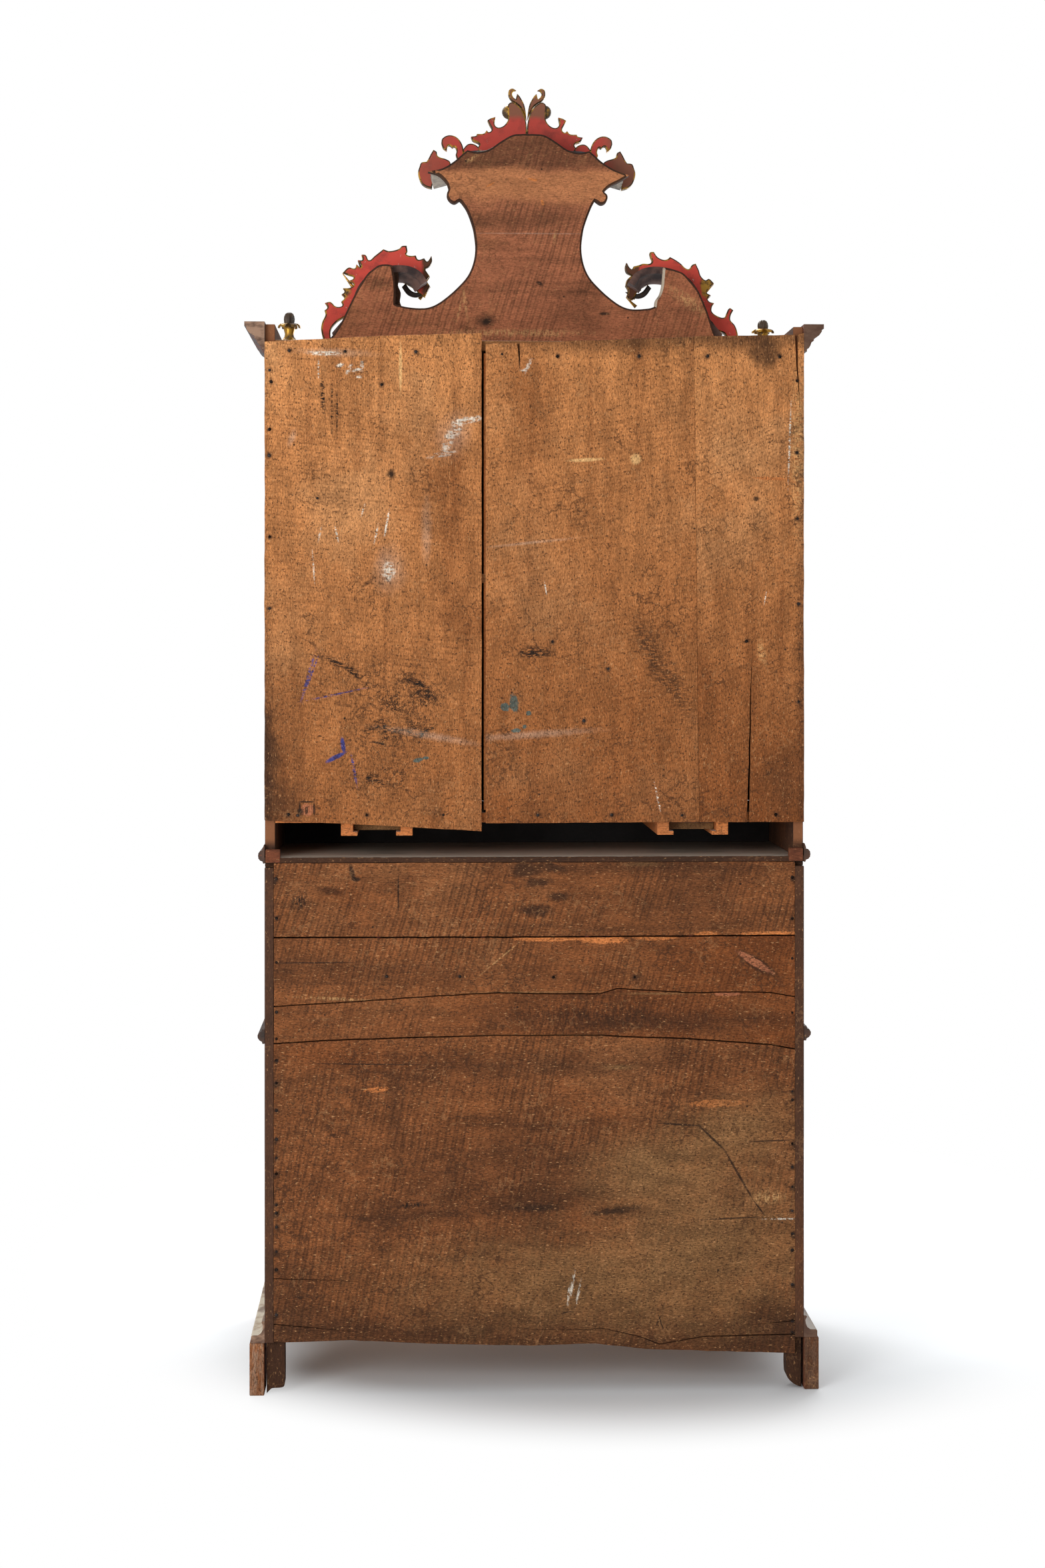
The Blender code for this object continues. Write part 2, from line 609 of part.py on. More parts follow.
def bracket_outline(flip):
    """A bracket foot's face: a heel on the floor that sweeps up to a thin toe."""
    top = FOOT_HEIGHT - GAP
    points = [
        (0.0, 0.0, CORNER), (FOOT_HEEL, 0.0, CORNER), (FOOT_HEEL * 1.15, FOOT_HEIGHT * 0.38, SMOOTH),
        (FOOT_LENGTH * 0.72, FOOT_HEIGHT * 0.66, SMOOTH), (FOOT_LENGTH, FOOT_HEIGHT * 0.76, CORNER),
        (FOOT_LENGTH, top, CORNER), (0.0, top, CORNER),
    ]
    if not flip:
        return points
    return [(-across, up, corner) for across, up, corner in points][::-1]


def build_feet():
    """Bracket feet: mitred pairs of brackets at the front, a bracket and a block at the back."""
    outer = HALF_WIDTH + BASE_PROJECTION
    front = FRONT_Y - BASE_PROJECTION
    for side in (-1, 1):
        flank = side * (outer - FOOT_THICKNESS / 2)
        mesh = outline_mesh(bracket_outline(False), FOOT_THICKNESS)
        foot = add_part("foot_front_" + side_name(side), mesh, RED_BROWN, (flank, front, 0), FACING_SIDE)
        mesh = outline_mesh(bracket_outline(side > 0), FOOT_THICKNESS)
        combine(foot, add_cutter(mesh, (side * outer, front + FOOT_THICKNESS / 2, 0), FACING_FRONT), "UNION")
        mesh = outline_mesh(bracket_outline(True), FOOT_THICKNESS)
        foot = add_part("foot_back_" + side_name(side), mesh, RED_BROWN, (flank, BACK_Y, 0), FACING_SIDE)
        inner = outer - FOOT_THICKNESS
        edges = sorted((side * (inner + BITE), side * (inner - FOOT_BLOCK_WIDTH)))
        low = (edges[0], BACK_Y - FOOT_HEEL, FOOT_BLOCK_LIFT)
        shape_box(foot, low, (edges[1], BACK_FACE_Y - GAP, FOOT_HEIGHT - GAP), "UNION")


def build_bureau_mouldings():
    """Base moulding, writing-level side mouldings and the waist moulding that holds the upper case."""
    low = FOOT_HEIGHT
    fillet = low + BASE_FILLET
    profile = [(0.0, low), (BASE_PROJECTION - GAP, low), (BASE_PROJECTION - GAP, fillet)]
    profile += cyma((BASE_PROJECTION - BITE, fillet), (BITE, FLOOR_Z - BITE))
    profile += [(BITE, FLOOR_Z), (0.0, FLOOR_Z)]
    mitred_moulding("base_moulding", profile, HALF_WIDTH + GAP, FRONT_Y - GAP, BACK_Y, PAINTED_STONE)
    top = WRITING_Z - LEVEL_MOULDING_DROP
    section = half_round(LEVEL_MOULDING_PROJECTION, top - LEVEL_MOULDING_HEIGHT, top)
    for side in (-1, 1):
        outline = [(side * (HALF_WIDTH + GAP + out), up) for out, up in section]
        mesh = sawn_outline_mesh(outline if side > 0 else outline[::-1], CASE_DEPTH)
        middle = (0, FRONT_Y + CASE_DEPTH / 2, 0)
        add_part("level_moulding_" + side_name(side), mesh, RED_BROWN, middle, FACING_FRONT)
    section = half_round(WAIST_PROJECTION - GAP, BUREAU_TOP_Z - WAIST_DROP, BUREAU_TOP_Z + WAIST_RISE)
    half = HALF_WIDTH + GAP
    waist = mitred_moulding("waist_moulding", section, half, UPPER_FRONT_Y - GAP, BACK_Y, RED_BROWN)
    below = (-half, UPPER_FRONT_Y - 2 * WAIST_PROJECTION, BUREAU_TOP_Z - 2 * WAIST_DROP)
    shape_box(waist, below, (half, UPPER_FRONT_Y, BUREAU_TOP_Z + GAP))


def build_upper_case():
    """Sides, floor, ceiling, shelf, front rail and back boards of the upper case."""
    for side in (-1, 1):
        edges = sorted((side * HALF_WIDTH, side * UPPER_INNER))
        low = (edges[0], UPPER_FRONT_Y, UPPER_Z)
        board("upper_side_" + side_name(side), low, (edges[1], BACK_FACE_Y, UPPER_TOP_Z), LACQUER)
    reach = UPPER_INNER - GAP
    behind_rail = UPPER_FRONT_Y + RAIL_THICKNESS + GAP
    low = (-reach, behind_rail, CUPBOARD_UNDER_Z)
    floor = board("upper_bottom", low, (reach, BACK_FACE_Y, CUPBOARD_FLOOR_Z), DARK_PINE)
    low = (-reach, UPPER_FRONT_Y, CEILING_Z)
    board("upper_top", low, (reach, BACK_FACE_Y, CEILING_Z + BOARD_THICKNESS), DARK_PINE)
    shelf_z = CUPBOARD_FLOOR_Z + SHELF_HEIGHT
    low = (-reach, UPPER_FRONT_Y + SHELF_SETBACK, shelf_z)
    board("upper_shelf", low, (reach, BACK_FACE_Y, shelf_z + SHELF_THICKNESS), DARK_PINE)
    rail_back = UPPER_FRONT_Y + RAIL_THICKNESS
    low = (-reach, UPPER_FRONT_Y, UPPER_Z)
    rail = board("upper_front_rail", low, (reach, rail_back, CUPBOARD_FLOOR_Z), LACQUER)
    for side in (-1, 1):
        build_candle_slide(side, floor, rail, behind_rail)
    top = UPPER_TOP_Z - BACK_TOP_DROP
    joint_low = BACK_JOINT_X - BACK_JOINT_WIDTH / 2
    joint_high = BACK_JOINT_X + BACK_JOINT_WIDTH / 2
    back = BACK_Y - BACK_THICKNESS
    board("upper_back_panel", (-HALF_WIDTH, back, CUPBOARD_UNDER_Z), (joint_low, BACK_Y, top), WORN_PINE)
    board("upper_back_board", (joint_high, back, CUPBOARD_UNDER_Z), (HALF_WIDTH, BACK_Y, top), WORN_PINE)


def build_candle_slide(side, floor, rail, behind_rail):
    """A pull-out candle slide, its slot in the rail and its two L-shaped runners under the floor."""
    middle = side * SLIDE_SPREAD
    half = SLIDE_WIDTH / 2
    runner_low = CUPBOARD_UNDER_Z - RUNNER_HEIGHT
    for edge in (-1, 1):
        inner = middle + edge * (half + RUN)
        leg = sorted((inner, inner + edge * RUNNER_WIDTH))
        low = (leg[0], behind_rail, runner_low)
        shape_box(floor, low, (leg[1], BACK_FACE_Y, CUPBOARD_UNDER_Z + BITE), "UNION")
        ledge = sorted((inner - edge * RUNNER_LIP, inner + edge * BITE))
        low = (ledge[0], behind_rail, runner_low)
        shape_box(floor, low, (ledge[1], BACK_FACE_Y, runner_low + RUNNER_LEDGE), "UNION")
    slot_low = (middle - half - RUN, UPPER_FRONT_Y - BITE, SLIDE_Z - RUN)
    slot_high = (middle + half + RUN, behind_rail + BITE, SLIDE_Z + SLIDE_THICKNESS + RUN)
    shape_box(rail, slot_low, slot_high)
    low = (middle - half, UPPER_FRONT_Y, SLIDE_Z)
    high = (middle + half, BACK_FACE_Y - SLIDE_BACK_SPACE, SLIDE_Z + SLIDE_THICKNESS)
    board("candle_slide_" + side_name(side), low, high, RED_BROWN)


def arched_outline(half, low, high, rise):
    """A panel outline with a flat foot and a round-arched head."""
    spring = high - rise
    radius = (half * half + rise * rise) / (2 * rise)
    sweep = math.asin(half / radius)
    steps = 10
    points = [(-half, low), (half, low)]
    for i in range(steps + 1):
        angle = sweep * (1 - 2 * i / steps)
        points.append((radius * math.sin(angle), spring - (radius - rise) + radius * math.cos(angle)))
    return points


def build_doors():
    """Two doors, each with an arched mirror let into its face, hung on a slim pivot rod."""
    low_z = CUPBOARD_FLOOR_Z + REVEAL
    high_z = CEILING_Z - REVEAL
    rod_y = UPPER_FRONT_Y - ROD_RADIUS - GAP
    for side in (-1, 1):
        name = side_name(side)
        edges = sorted((side * REVEAL / 2, side * (UPPER_INNER - REVEAL)))
        low = (edges[0], UPPER_FRONT_Y, low_z)
        door = board("door_" + name, low, (edges[1], UPPER_FRONT_Y + DOOR_THICKNESS, high_z), LACQUER)
        middle = sum(edges) / 2
        half = (edges[1] - edges[0]) / 2 - DOOR_STILE
        foot = low_z + DOOR_RAIL
        head = high_z - DOOR_RAIL
        recess = sawn_outline_mesh(arched_outline(half, foot, head, MIRROR_RISE), 2 * MIRROR_RECESS)
        combine(door, add_cutter(recess, (middle, UPPER_FRONT_Y, 0), FACING_FRONT), "DIFFERENCE")
        glass_outline = arched_outline(half - RUN, foot + RUN, head - RUN, MIRROR_RISE)
        glass_y = UPPER_FRONT_Y + MIRROR_RECESS - GAP - MIRROR_THICKNESS / 2
        glass_mesh = sawn_outline_mesh(glass_outline, MIRROR_THICKNESS)
        glass = add_part("door_mirror_" + name, glass_mesh, SILVERED, (middle, glass_y, 0), FACING_FRONT)
        axis = (side * UPPER_INNER, rod_y, (low_z + high_z) / 2)
        rod = rod_mesh(ROD_RADIUS, high_z - low_z, 12)
        add_part("door_pivot_rod_" + name, rod, IRON, axis, (0, math.pi / 2, 0))
        hang_on("door_axis_" + name, axis, [door, glass])


def build_cornice():
    """The cornice round the front and sides, with a bud finial at each front corner."""
    top = CORNICE_TOP_Z
    profile = [(0.0, CEILING_Z), (BITE, CEILING_Z)]
    profile += cyma((BITE, CEILING_Z + BITE), (CORNICE_PROJECTION - BITE, top - CORNICE_FILLET))
    profile += [(CORNICE_PROJECTION, top - CORNICE_FILLET), (CORNICE_PROJECTION, top), (0.0, top)]
    mitred_moulding("cornice", profile, HALF_WIDTH + GAP, UPPER_FRONT_Y - GAP, BACK_Y, SLATE)
    bud = FINIAL_RADIUS * 0.8
    profile = [
        (0.0, FINIAL_HEIGHT), (bud * 0.35, FINIAL_HEIGHT * 0.94), (bud * 0.8, FINIAL_HEIGHT * 0.80),
        (bud, FINIAL_HEIGHT * 0.62), (bud * 0.7, FINIAL_HEIGHT * 0.44), (FINIAL_RADIUS, FINIAL_HEIGHT * 0.36),
        (FINIAL_RADIUS * 0.6, FINIAL_HEIGHT * 0.22), (FINIAL_RADIUS * 0.5, FINIAL_HEIGHT * 0.12),
        (FINIAL_RADIUS, FINIAL_HEIGHT * 0.06), (FINIAL_RADIUS, 0.0), (0.0, 0.0),
    ]
    for side in (-1, 1):
        place = (side * FINIAL_SPREAD, UPPER_FRONT_Y - CORNICE_PROJECTION / 2, top + GAP)
        turned_part("finial_" + side_name(side), profile, GILT, place)


def build_crest():
    """The sawn crest board, the mouldings on its face and the carved leaves in front of them."""
    foot_x = CREST_EDGE[0][0]
    foot = [(foot_x, CEILING_Z + BOARD_THICKNESS + GAP - CORNICE_TOP_Z, CORNER)]
    half = foot + CREST_EDGE
    outline = mirrored(half, 1) + mirrored(half[:-1], -1)
    front = UPPER_FRONT_Y + CREST_SETBACK
    middle = (0, front + CREST_THICKNESS / 2, 0)
    add_part("crest_board", outline_mesh(outline, CREST_THICKNESS), WORN_PINE, middle, FACING_FRONT)
    moulding_y = front - GAP - CREST_MOULDING_DEPTH / 2
    cap = mirrored(CAP_PATH, 1) + mirrored(CAP_PATH[:-1], -1)
    cap_mesh = ribbon_mesh(cap, CREST_MOULDING_DEPTH, CREST_MOULDING_THICKNESS)
    add_part("crest_cap_moulding", cap_mesh, LACQUER, (0, moulding_y, 0), FACING_FRONT)
    leaf_y = front - CREST_MOULDING_DEPTH - 2 * GAP - LEAF_THICKNESS / 2
    for side in (-1, 1):
        name = side_name(side)
        swan = ribbon_mesh(mirrored(SWAN_PATH, side), CREST_MOULDING_DEPTH, CREST_MOULDING_THICKNESS)
        add_part("crest_swan_moulding_" + name, swan, LACQUER, (0, moulding_y, 0), FACING_FRONT)
        for leaf, outline in (("top_acanthus_", TOP_LEAF), ("hump_acanthus_", HUMP_LEAF)):
            mesh = outline_mesh(mirrored(outline, side), LEAF_THICKNESS)
            add_part(leaf + name, mesh, RED_GILT, (0, leaf_y, 0), FACING_FRONT)


for leftover in list(bpy.data.objects):
    bpy.data.objects.remove(leftover, do_unlink=True)
PARTS = make_collection("bureau_cabinet")
CUTTERS = make_collection("shapers")
build_bureau_case()
build_bureau_back()
build_drawers()
build_lopers()
build_fall()
build_writing_interior()
build_feet()
build_bureau_mouldings()
build_upper_case()
build_doors()
build_cornice()
build_crest()
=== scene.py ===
"""Looks of a lacquered bureau cabinet, seen from behind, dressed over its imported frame.

Metres, +Z up, the front faces -Y. Every piece sits at the origin with its place in its mesh,
so a finish can be painted by where a point is on the cabinet.
"""

import json
import math
import random

import bmesh
import bpy
from bpy.props import FloatProperty, FloatVectorProperty, IntProperty, PointerProperty
from bpy.types import NodeSocket, Operator, Panel, PropertyGroup
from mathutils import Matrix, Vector, geometry, noise

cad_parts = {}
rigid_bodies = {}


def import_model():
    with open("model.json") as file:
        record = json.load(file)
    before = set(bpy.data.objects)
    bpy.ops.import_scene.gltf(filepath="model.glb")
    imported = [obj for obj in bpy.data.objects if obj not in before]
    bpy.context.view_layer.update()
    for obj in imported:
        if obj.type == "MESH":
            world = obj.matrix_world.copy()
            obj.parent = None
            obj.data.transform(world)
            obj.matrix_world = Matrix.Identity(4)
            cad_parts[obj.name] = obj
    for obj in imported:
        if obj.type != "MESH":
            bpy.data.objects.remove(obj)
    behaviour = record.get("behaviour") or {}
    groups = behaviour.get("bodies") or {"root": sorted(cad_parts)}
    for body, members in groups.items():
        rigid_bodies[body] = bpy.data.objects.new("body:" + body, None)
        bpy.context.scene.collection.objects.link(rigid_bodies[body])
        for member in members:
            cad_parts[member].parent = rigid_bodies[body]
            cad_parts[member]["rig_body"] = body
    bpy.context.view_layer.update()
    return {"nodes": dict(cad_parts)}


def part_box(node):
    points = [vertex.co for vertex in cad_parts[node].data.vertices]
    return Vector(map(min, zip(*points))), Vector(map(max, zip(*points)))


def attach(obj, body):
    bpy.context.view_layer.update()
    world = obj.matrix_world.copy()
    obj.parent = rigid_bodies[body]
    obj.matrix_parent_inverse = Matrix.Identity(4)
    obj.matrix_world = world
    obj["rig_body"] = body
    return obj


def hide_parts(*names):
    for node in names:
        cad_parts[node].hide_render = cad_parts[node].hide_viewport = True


bl_info = {
    "name": "Bureau cabinet looks",
    "version": (1, 0, 0),
    "blender": (4, 5, 0),
    "location": "View3D > Sidebar > Cabinet",
    "description": "Worn boards, carved leaves, mouldings, fronts and stage of a bureau cabinet",
    "category": "Add Mesh",
}

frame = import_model()

# The photograph's picture size and the camera that fits it
PICTURE_HEIGHT = 2353
FOCAL_PIXELS = 3755.0
HORIZON_SHIFT = -212.0
SENSOR = 36.0
CAMERA_PLACE = (0.2275, 5.315, 1.5)
CAMERA_YAW = 0.0403

# Faces of the frame that the dressing keeps to
BACK_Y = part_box("upper_back_board")[1].y
BACK_FRONT_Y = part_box("upper_back_board")[0].y
CASE_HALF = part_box("upper_back_board")[1].x
LOWER_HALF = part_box("bureau_back_board_lower")[1].x
CORNICE_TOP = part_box("cornice")[1].z
CREST_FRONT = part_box("crest_board")[0].y
CREST_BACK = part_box("crest_board")[1].y
LEAF_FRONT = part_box("hump_acanthus_left")[0].y
LEAF_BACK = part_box("hump_acanthus_left")[1].y
SIDES = {"left": -1, "right": 1}
SHARP = True
# Least reach of a mark with a coarsely ragged edge, and the gap between pieces that lie on each other
BROAD_MARK = 0.012
SEAM = 0.0004


# Values that a user may change

def linear(*screen):
    """A colour as it looks on a screen, 0 to 255, turned into light values."""
    shares = [value / 255 for value in screen]
    return tuple(s / 12.92 if s <= 0.04045 else ((s + 0.055) / 1.055) ** 2.4 for s in shares)


def colour(name, description, *screen):
    """A colour that a user can change."""
    return FloatVectorProperty(name=name, description=description, subtype="COLOR", size=3,
                               min=0.0, max=1.0, default=linear(*screen))


def length(name, description, default):
    """A length that a user can change."""
    return FloatProperty(name=name, description=description, subtype="DISTANCE", unit="LENGTH",
                         min=0.0, default=default)


class CabinetColours(PropertyGroup):
    """Colours of the cabinet's woods, paints and metals."""

    pine: colour("Back boards", "Worn softwood of the upper back", 204, 136, 81)
    pine_dark: colour("Board flecks", "Dark fibres and dirt in the upper back", 112, 64, 32)
    pine_light: colour("Rubbed boards", "Pale rubbed fibres of the upper back", 222, 166, 112)
    # Also the dark end of the boards' gradient along one axis: partly the wood's own tone, partly painted shade
    deep_wood_and_shade: colour("Deep boards", "Darkened wood low on the upper back", 112, 56, 20)
    low_pine: colour("Bureau boards", "Darker softwood of the bureau's back", 134, 80, 44)
    low_dark: colour("Bureau flecks", "Dark fibres and dirt in the bureau's back", 66, 40, 24)
    low_light: colour("Rubbed bureau boards", "Pale fibres of the bureau's back", 158, 106, 66)
    fleck: colour("Pale flecks", "Bruised pale fibres", 206, 152, 102)
    greyed: colour("Greyed wood", "Wood bleached and dusty from wear", 132, 96, 60)
    crest: colour("Crest board", "Reddish softwood of the crest", 170, 104, 72)
    crest_band: colour("Crest band", "Lighter band across the crest", 184, 120, 78)
    fresh: colour("Fresh splits", "Wood laid bare by a split", 196, 118, 64)
    pale: colour("Pale splinters", "Pale fibres where a splinter came off", 226, 178, 118)
    edge_brown: colour("Case edges", "Dark worn edges of the case sides", 78, 48, 30)
    post_brown: colour("Post edges", "Lighter back edges of the upper sides", 150, 95, 60)
    end_grain: colour("End grain", "Bare ends of mouldings and feet", 152, 118, 94)
    inside: colour("Inner wood", "Bare softwood inside drawers and cupboards", 150, 104, 62)
    soot: colour("Soot", "Dark stains and scuffs", 38, 27, 20)
    # Painted shade: near-black standing in for the shadow deep in the slot, not a colour of the wood
    painted_slot_shade: colour("Shade", "Smoke-dark back of the slot", 14, 8, 5)
    iron_stain: colour("Nail stain", "Dark rings around nails", 58, 40, 30)
    chalk: colour("Chalk", "White smears and strokes", 226, 214, 196)
    blue: colour("Blue chalk", "Blue strokes", 40, 60, 130)
    green: colour("Green paint", "Grey-green paint drops", 78, 92, 86)
    dust: colour("Dust", "Grey dust on level faces", 188, 178, 164)
    lacquer: colour("Lacquer", "Plum-brown lacquer of the front and sides", 74, 38, 32)
    lacquer_dark: colour("Aged lacquer", "Darkened lacquer in the hollows", 42, 24, 22)
    red_brown: colour("Stained wood", "Red-brown stain of small mouldings and feet", 110, 60, 38)
    browned: colour("Browned paint", "Dusty brown scroll heads and sprigs", 124, 84, 62)
    red: colour("Red paint", "Red backs of the carved leaves", 212, 76, 62)
    red_dark: colour("Aged red", "Worn and dirty red paint", 140, 56, 48)
    gilt: colour("Gilding", "Ochre gilding of the carving", 190, 142, 52)
    gilt_dark: colour("Worn gilding", "Bronze-dark gilding in the hollows", 74, 54, 32)
    soffit: colour("Soffit paint", "Plum-brown paint under the swan necks", 112, 78, 66)
    slate: colour("Slate paint", "Blue-black paint of the cornice", 66, 64, 66)
    stone: colour("Stone paint", "Cream ground of the base moulding", 196, 184, 164)
    stone_figure: colour("Stone figure", "Brown figure painted on the cream ground", 96, 66, 48)
    brass: colour("Brass", "Knobs, hinges and escutcheons", 176, 134, 66)
    iron: colour("Iron", "Nails and pivot rods", 64, 58, 56)
    silvering: colour("Mirror", "Old silvered glass", 196, 198, 196)
    foxing: colour("Foxing", "Dark spots in the silvering", 92, 84, 74)


class CabinetSizes(PropertyGroup):
    """Sizes of the cabinet's small details."""

    wear: length("Edge wear", "Rounding of worn board edges", 0.0012)
    wobble: length("Edge wobble", "How far a worn edge strays from straight", 0.001)
    nail_head: length("Nail head", "Radius of a forged nail head", 0.0033)
    nail_stain: length("Nail stain", "Reach of the dark ring around a nail", 0.0092)
    gilt_line: length("Gilt line", "Width of the gilt lines on the fronts", 0.004)
    gilt_inset: length("Gilt line inset", "Distance of a gilt line from its panel's edge", 0.026)
    leaf_edge: length("Leaf edge", "Slanting gilt rim of the carved leaves", 0.0026)
    bud_lobes: IntProperty(name="Bud lobes", description="Ribs round a finial's bud", default=8, min=3)
    cup_leaves: IntProperty(name="Cup leaves", description="Leaves round a finial's bud", default=6, min=3)


def colours():
    """The cabinet's colours in this scene."""
    return bpy.context.scene.cabinet_colours


def sizes():
    """The cabinet's small sizes in this scene."""
    return bpy.context.scene.cabinet_sizes


# Finishes

class Finish:
    """One procedural finish, built node by node from a point's place on the cabinet."""

    def __init__(self, name, depth=None):
        self.depth = BACK_Y if depth is None else depth
        self.material = bpy.data.materials.new(name)
        self.material.use_nodes = True
        self.tree = self.material.node_tree
        self.shader = self.tree.nodes["Principled BSDF"]
        self.place = self.add("ShaderNodeTexCoord").outputs["Object"]

    def feed(self, socket, value):
        """Give a socket a link, a colour or a number."""
        if isinstance(value, NodeSocket):
            self.tree.links.new(value, socket)
        elif socket.type == "RGBA":
            socket.default_value = (*value[:3], 1.0)
        else:
            socket.default_value = value

    def add(self, kind, *values, **settings):
        """A node with its settings, and its first sockets filled in order. None leaves a socket as it is."""
        node = self.tree.nodes.new(kind)
        for key, setting in settings.items():
            setattr(node, key, setting)
        for socket, value in zip(node.inputs, values):
            if value is not None:
                self.feed(socket, value)
        return node

    def math(self, operation, *values, clamp=False):
        """A sum of numbers."""
        return self.add("ShaderNodeMath", *values, operation=operation, use_clamp=clamp).outputs[0]

    def vector(self, operation, *values):
        """A sum of vectors."""
        return self.add("ShaderNodeVectorMath", *values, operation=operation)

    def mix(self, share, first, second, blend="MIX"):
        """Two colours mixed by a share."""
        node = self.add("ShaderNodeMix", data_type="RGBA", blend_type=blend)
        self.feed(node.inputs[0], share)
        self.feed(node.inputs[6], first)
        self.feed(node.inputs[7], second)
        return node.outputs[2]

    def ramp(self, value, low, high, start=0.0, end=1.0):
        """A value eased from start to end while it goes from low to high."""
        return self.add("ShaderNodeMapRange", value, low, high, start, end,
                        interpolation_type="SMOOTHSTEP").outputs[0]

    def moved(self, shift):
        """Places shifted, so that two like boards don't share one figure."""
        return self.vector("ADD", self.place, shift).outputs[0]

    def grit(self, scale, detail=2.0, roughness=0.5, place=None):
        """Noise with so many spots to the metre along each axis."""
        stretched = self.vector("MULTIPLY", place or self.place, scale).outputs[0]
        return self.add("ShaderNodeTexNoise", stretched, None, 1.0, detail, roughness).outputs[0]

    def axis(self, name):
        """A point's place along one axis."""
        return self.add("ShaderNodeSeparateXYZ", self.place).outputs[name]

    def facing(self, direction):
        """How far a surface faces a direction."""
        normal = self.add("ShaderNodeNewGeometry").outputs["Normal"]
        return self.vector("DOT_PRODUCT", normal, direction).outputs["Value"]

    def blot(self, middle, reach, turn, ragged, soft, grit):
        """The share of each point that a blot covers, with a ragged edge."""
        across, up = middle
        local = self.add("ShaderNodeMapping", self.place, (across, self.depth, up), (0, math.radians(turn), 0),
                         (reach[0], 1.0, reach[1]), vector_type="TEXTURE").outputs[0]
        far = self.vector("LENGTH", local).outputs["Value"]
        edge = self.math("MULTIPLY_ADD", grit, ragged, far)
        middle_edge = 1.0 + ragged / 2
        return self.ramp(edge, middle_edge - soft, middle_edge + soft, 1.0, 0.0)

    def finish(self, tone, roughness, height=None, relief=0.0, metallic=0.0, shine=0.5):
        """Join the colour, the gloss and the relief to the shader."""
        self.shader.inputs["Specular IOR Level"].default_value = shine
        self.feed(self.shader.inputs["Base Color"], tone)
        self.feed(self.shader.inputs["Roughness"], roughness)
        self.feed(self.shader.inputs["Metallic"], metallic)
        if height is not None:
            bump = self.add("ShaderNodeBump")
            bump.inputs["Distance"].default_value = relief
            self.feed(bump.inputs["Height"], height)
            self.feed(self.shader.inputs["Normal"], bump.outputs[0])
        return self.material


def along(grain, length_wise, cross):
    """Noise spots to the metre along and across a grain axis."""
    return tuple(length_wise if axis == grain else cross for axis in "XYZ")


def wood_figure(finish, grain, tones, shift, saw=None):
    """Streaked, clouded and sawn wood."""
    body, dark, light = tones
    place = finish.moved(shift)
    streaks = finish.grit(along(grain, 2.0, 34), 6, 0.68, place)
    clouds = finish.grit((4, 4, 4), 5, 0.62, place)
    tone = finish.mix(finish.ramp(streaks, 0.46, 0.74, 0.0, 0.55), body, dark)
    tone = finish.mix(finish.ramp(clouds, 0.5, 0.7, 0.0, 0.36), tone, light)
    tone = finish.mix(finish.ramp(clouds, 0.48, 0.3, 0.0, 0.4), tone, dark)
    if saw:
        tone = finish.mix(saw_lines(finish, *saw), tone, dark)
    return tone


def scratches(finish, place, spots, share):
    """Thin wandering scratches in patches."""
    wander = finish.math("ABSOLUTE", finish.math("SUBTRACT", finish.grit((spots,) * 3, 3, 0.55, place), 0.5))
    patches = finish.ramp(finish.grit((9, 9, 9), 3, 0.6, place), 0.48, 0.62, 0.0, share)
    return finish.math("MULTIPLY", finish.ramp(wander, 0.004, 0.026, 1.0, 0.0), patches)


def gritty(finish, grain, tone, shift, strength=1.0):
    """Fibres, blotches, dark specks and pale and dark scratches over a colour, and their height."""
    tint = colours()
    place, other = finish.moved(shift), finish.moved((shift[2] + 0.9, shift[0], shift[1]))
    fibres = finish.grit(along(grain, 130, 400), 3, 0.65, place)
    blotches = finish.grit(along(grain, 16, 40), 5, 0.72, other)
    specks = finish.grit((250, 250, 250), 2, 0.5, other)
    flecks = finish.grit(along(grain, 110, 260), 2, 0.6, place)
    fibrous = finish.ramp(fibres, 0.32, 0.68, 1.0 + 0.26 * strength, 1.0 - 0.32 * strength)
    blotched = finish.ramp(blotches, 0.32, 0.68, 1.0 + 0.15 * strength, 1.0 - 0.19 * strength)
    tone = finish.mix(1.0, tone, finish.math("MULTIPLY", fibrous, blotched), "MULTIPLY")
    tone = finish.mix(finish.ramp(specks, 0.58, 0.68, 0.0, 0.62 * strength), tone, tint.low_dark)
    tone = finish.mix(finish.ramp(flecks, 0.62, 0.72, 0.0, 0.45 * strength), tone, tint.fleck)
    tone = finish.mix(scratches(finish, place, 30, 0.13 * strength), tone, tint.fleck)
    tone = finish.mix(scratches(finish, other, 24, 0.5 * strength), tone, tint.low_dark)
    return tone, finish.math("MULTIPLY", fibres, -1.0)


def wood_tones(finish, grain, tones, shift, saw=None):
    """Plain old wood: its colour, and the height of its fibres."""
    return gritty(finish, grain, wood_figure(finish, grain, tones, shift, saw), shift, 0.8)


def saw_lines(finish, direction, pitch, strength):
    """Fine lines left by a saw, a pitch apart along a direction, with broader ripples, strongest in patches."""
    reach = finish.vector("DOT_PRODUCT", finish.place, (direction[0], 0, direction[1])).outputs["Value"]
    stray = finish.grit((5, 5, 5), 4, 0.55)
    turns = finish.math("MULTIPLY_ADD", stray, 16.0, finish.math("MULTIPLY", reach, math.tau / pitch))
    lines = finish.ramp(finish.math("SINE", turns), -1.0, 1.0)
    ripples = finish.ramp(finish.math("SINE", finish.math("MULTIPLY", turns, 0.43)), -1.0, 1.0)
    both = finish.math("MULTIPLY", finish.math("ADD", lines, ripples), 0.5)
    patches = finish.ramp(finish.grit((7, 7, 7), 4, 0.65, finish.moved((3.1, 0.7, 5.3))), 0.32, 0.58, 0.0, strength)
    return finish.math("MULTIPLY", finish.ramp(both, 0.2, 0.9), patches)


def worm_holes(finish, tone):
    """Scattered pin holes."""
    cells = finish.add("ShaderNodeTexVoronoi", finish.place, None, 17.0, feature="F1").outputs["Distance"]
    return finish.mix(finish.ramp(cells, 0.03, 0.045, 0.85, 0.0), tone, colours().soot)


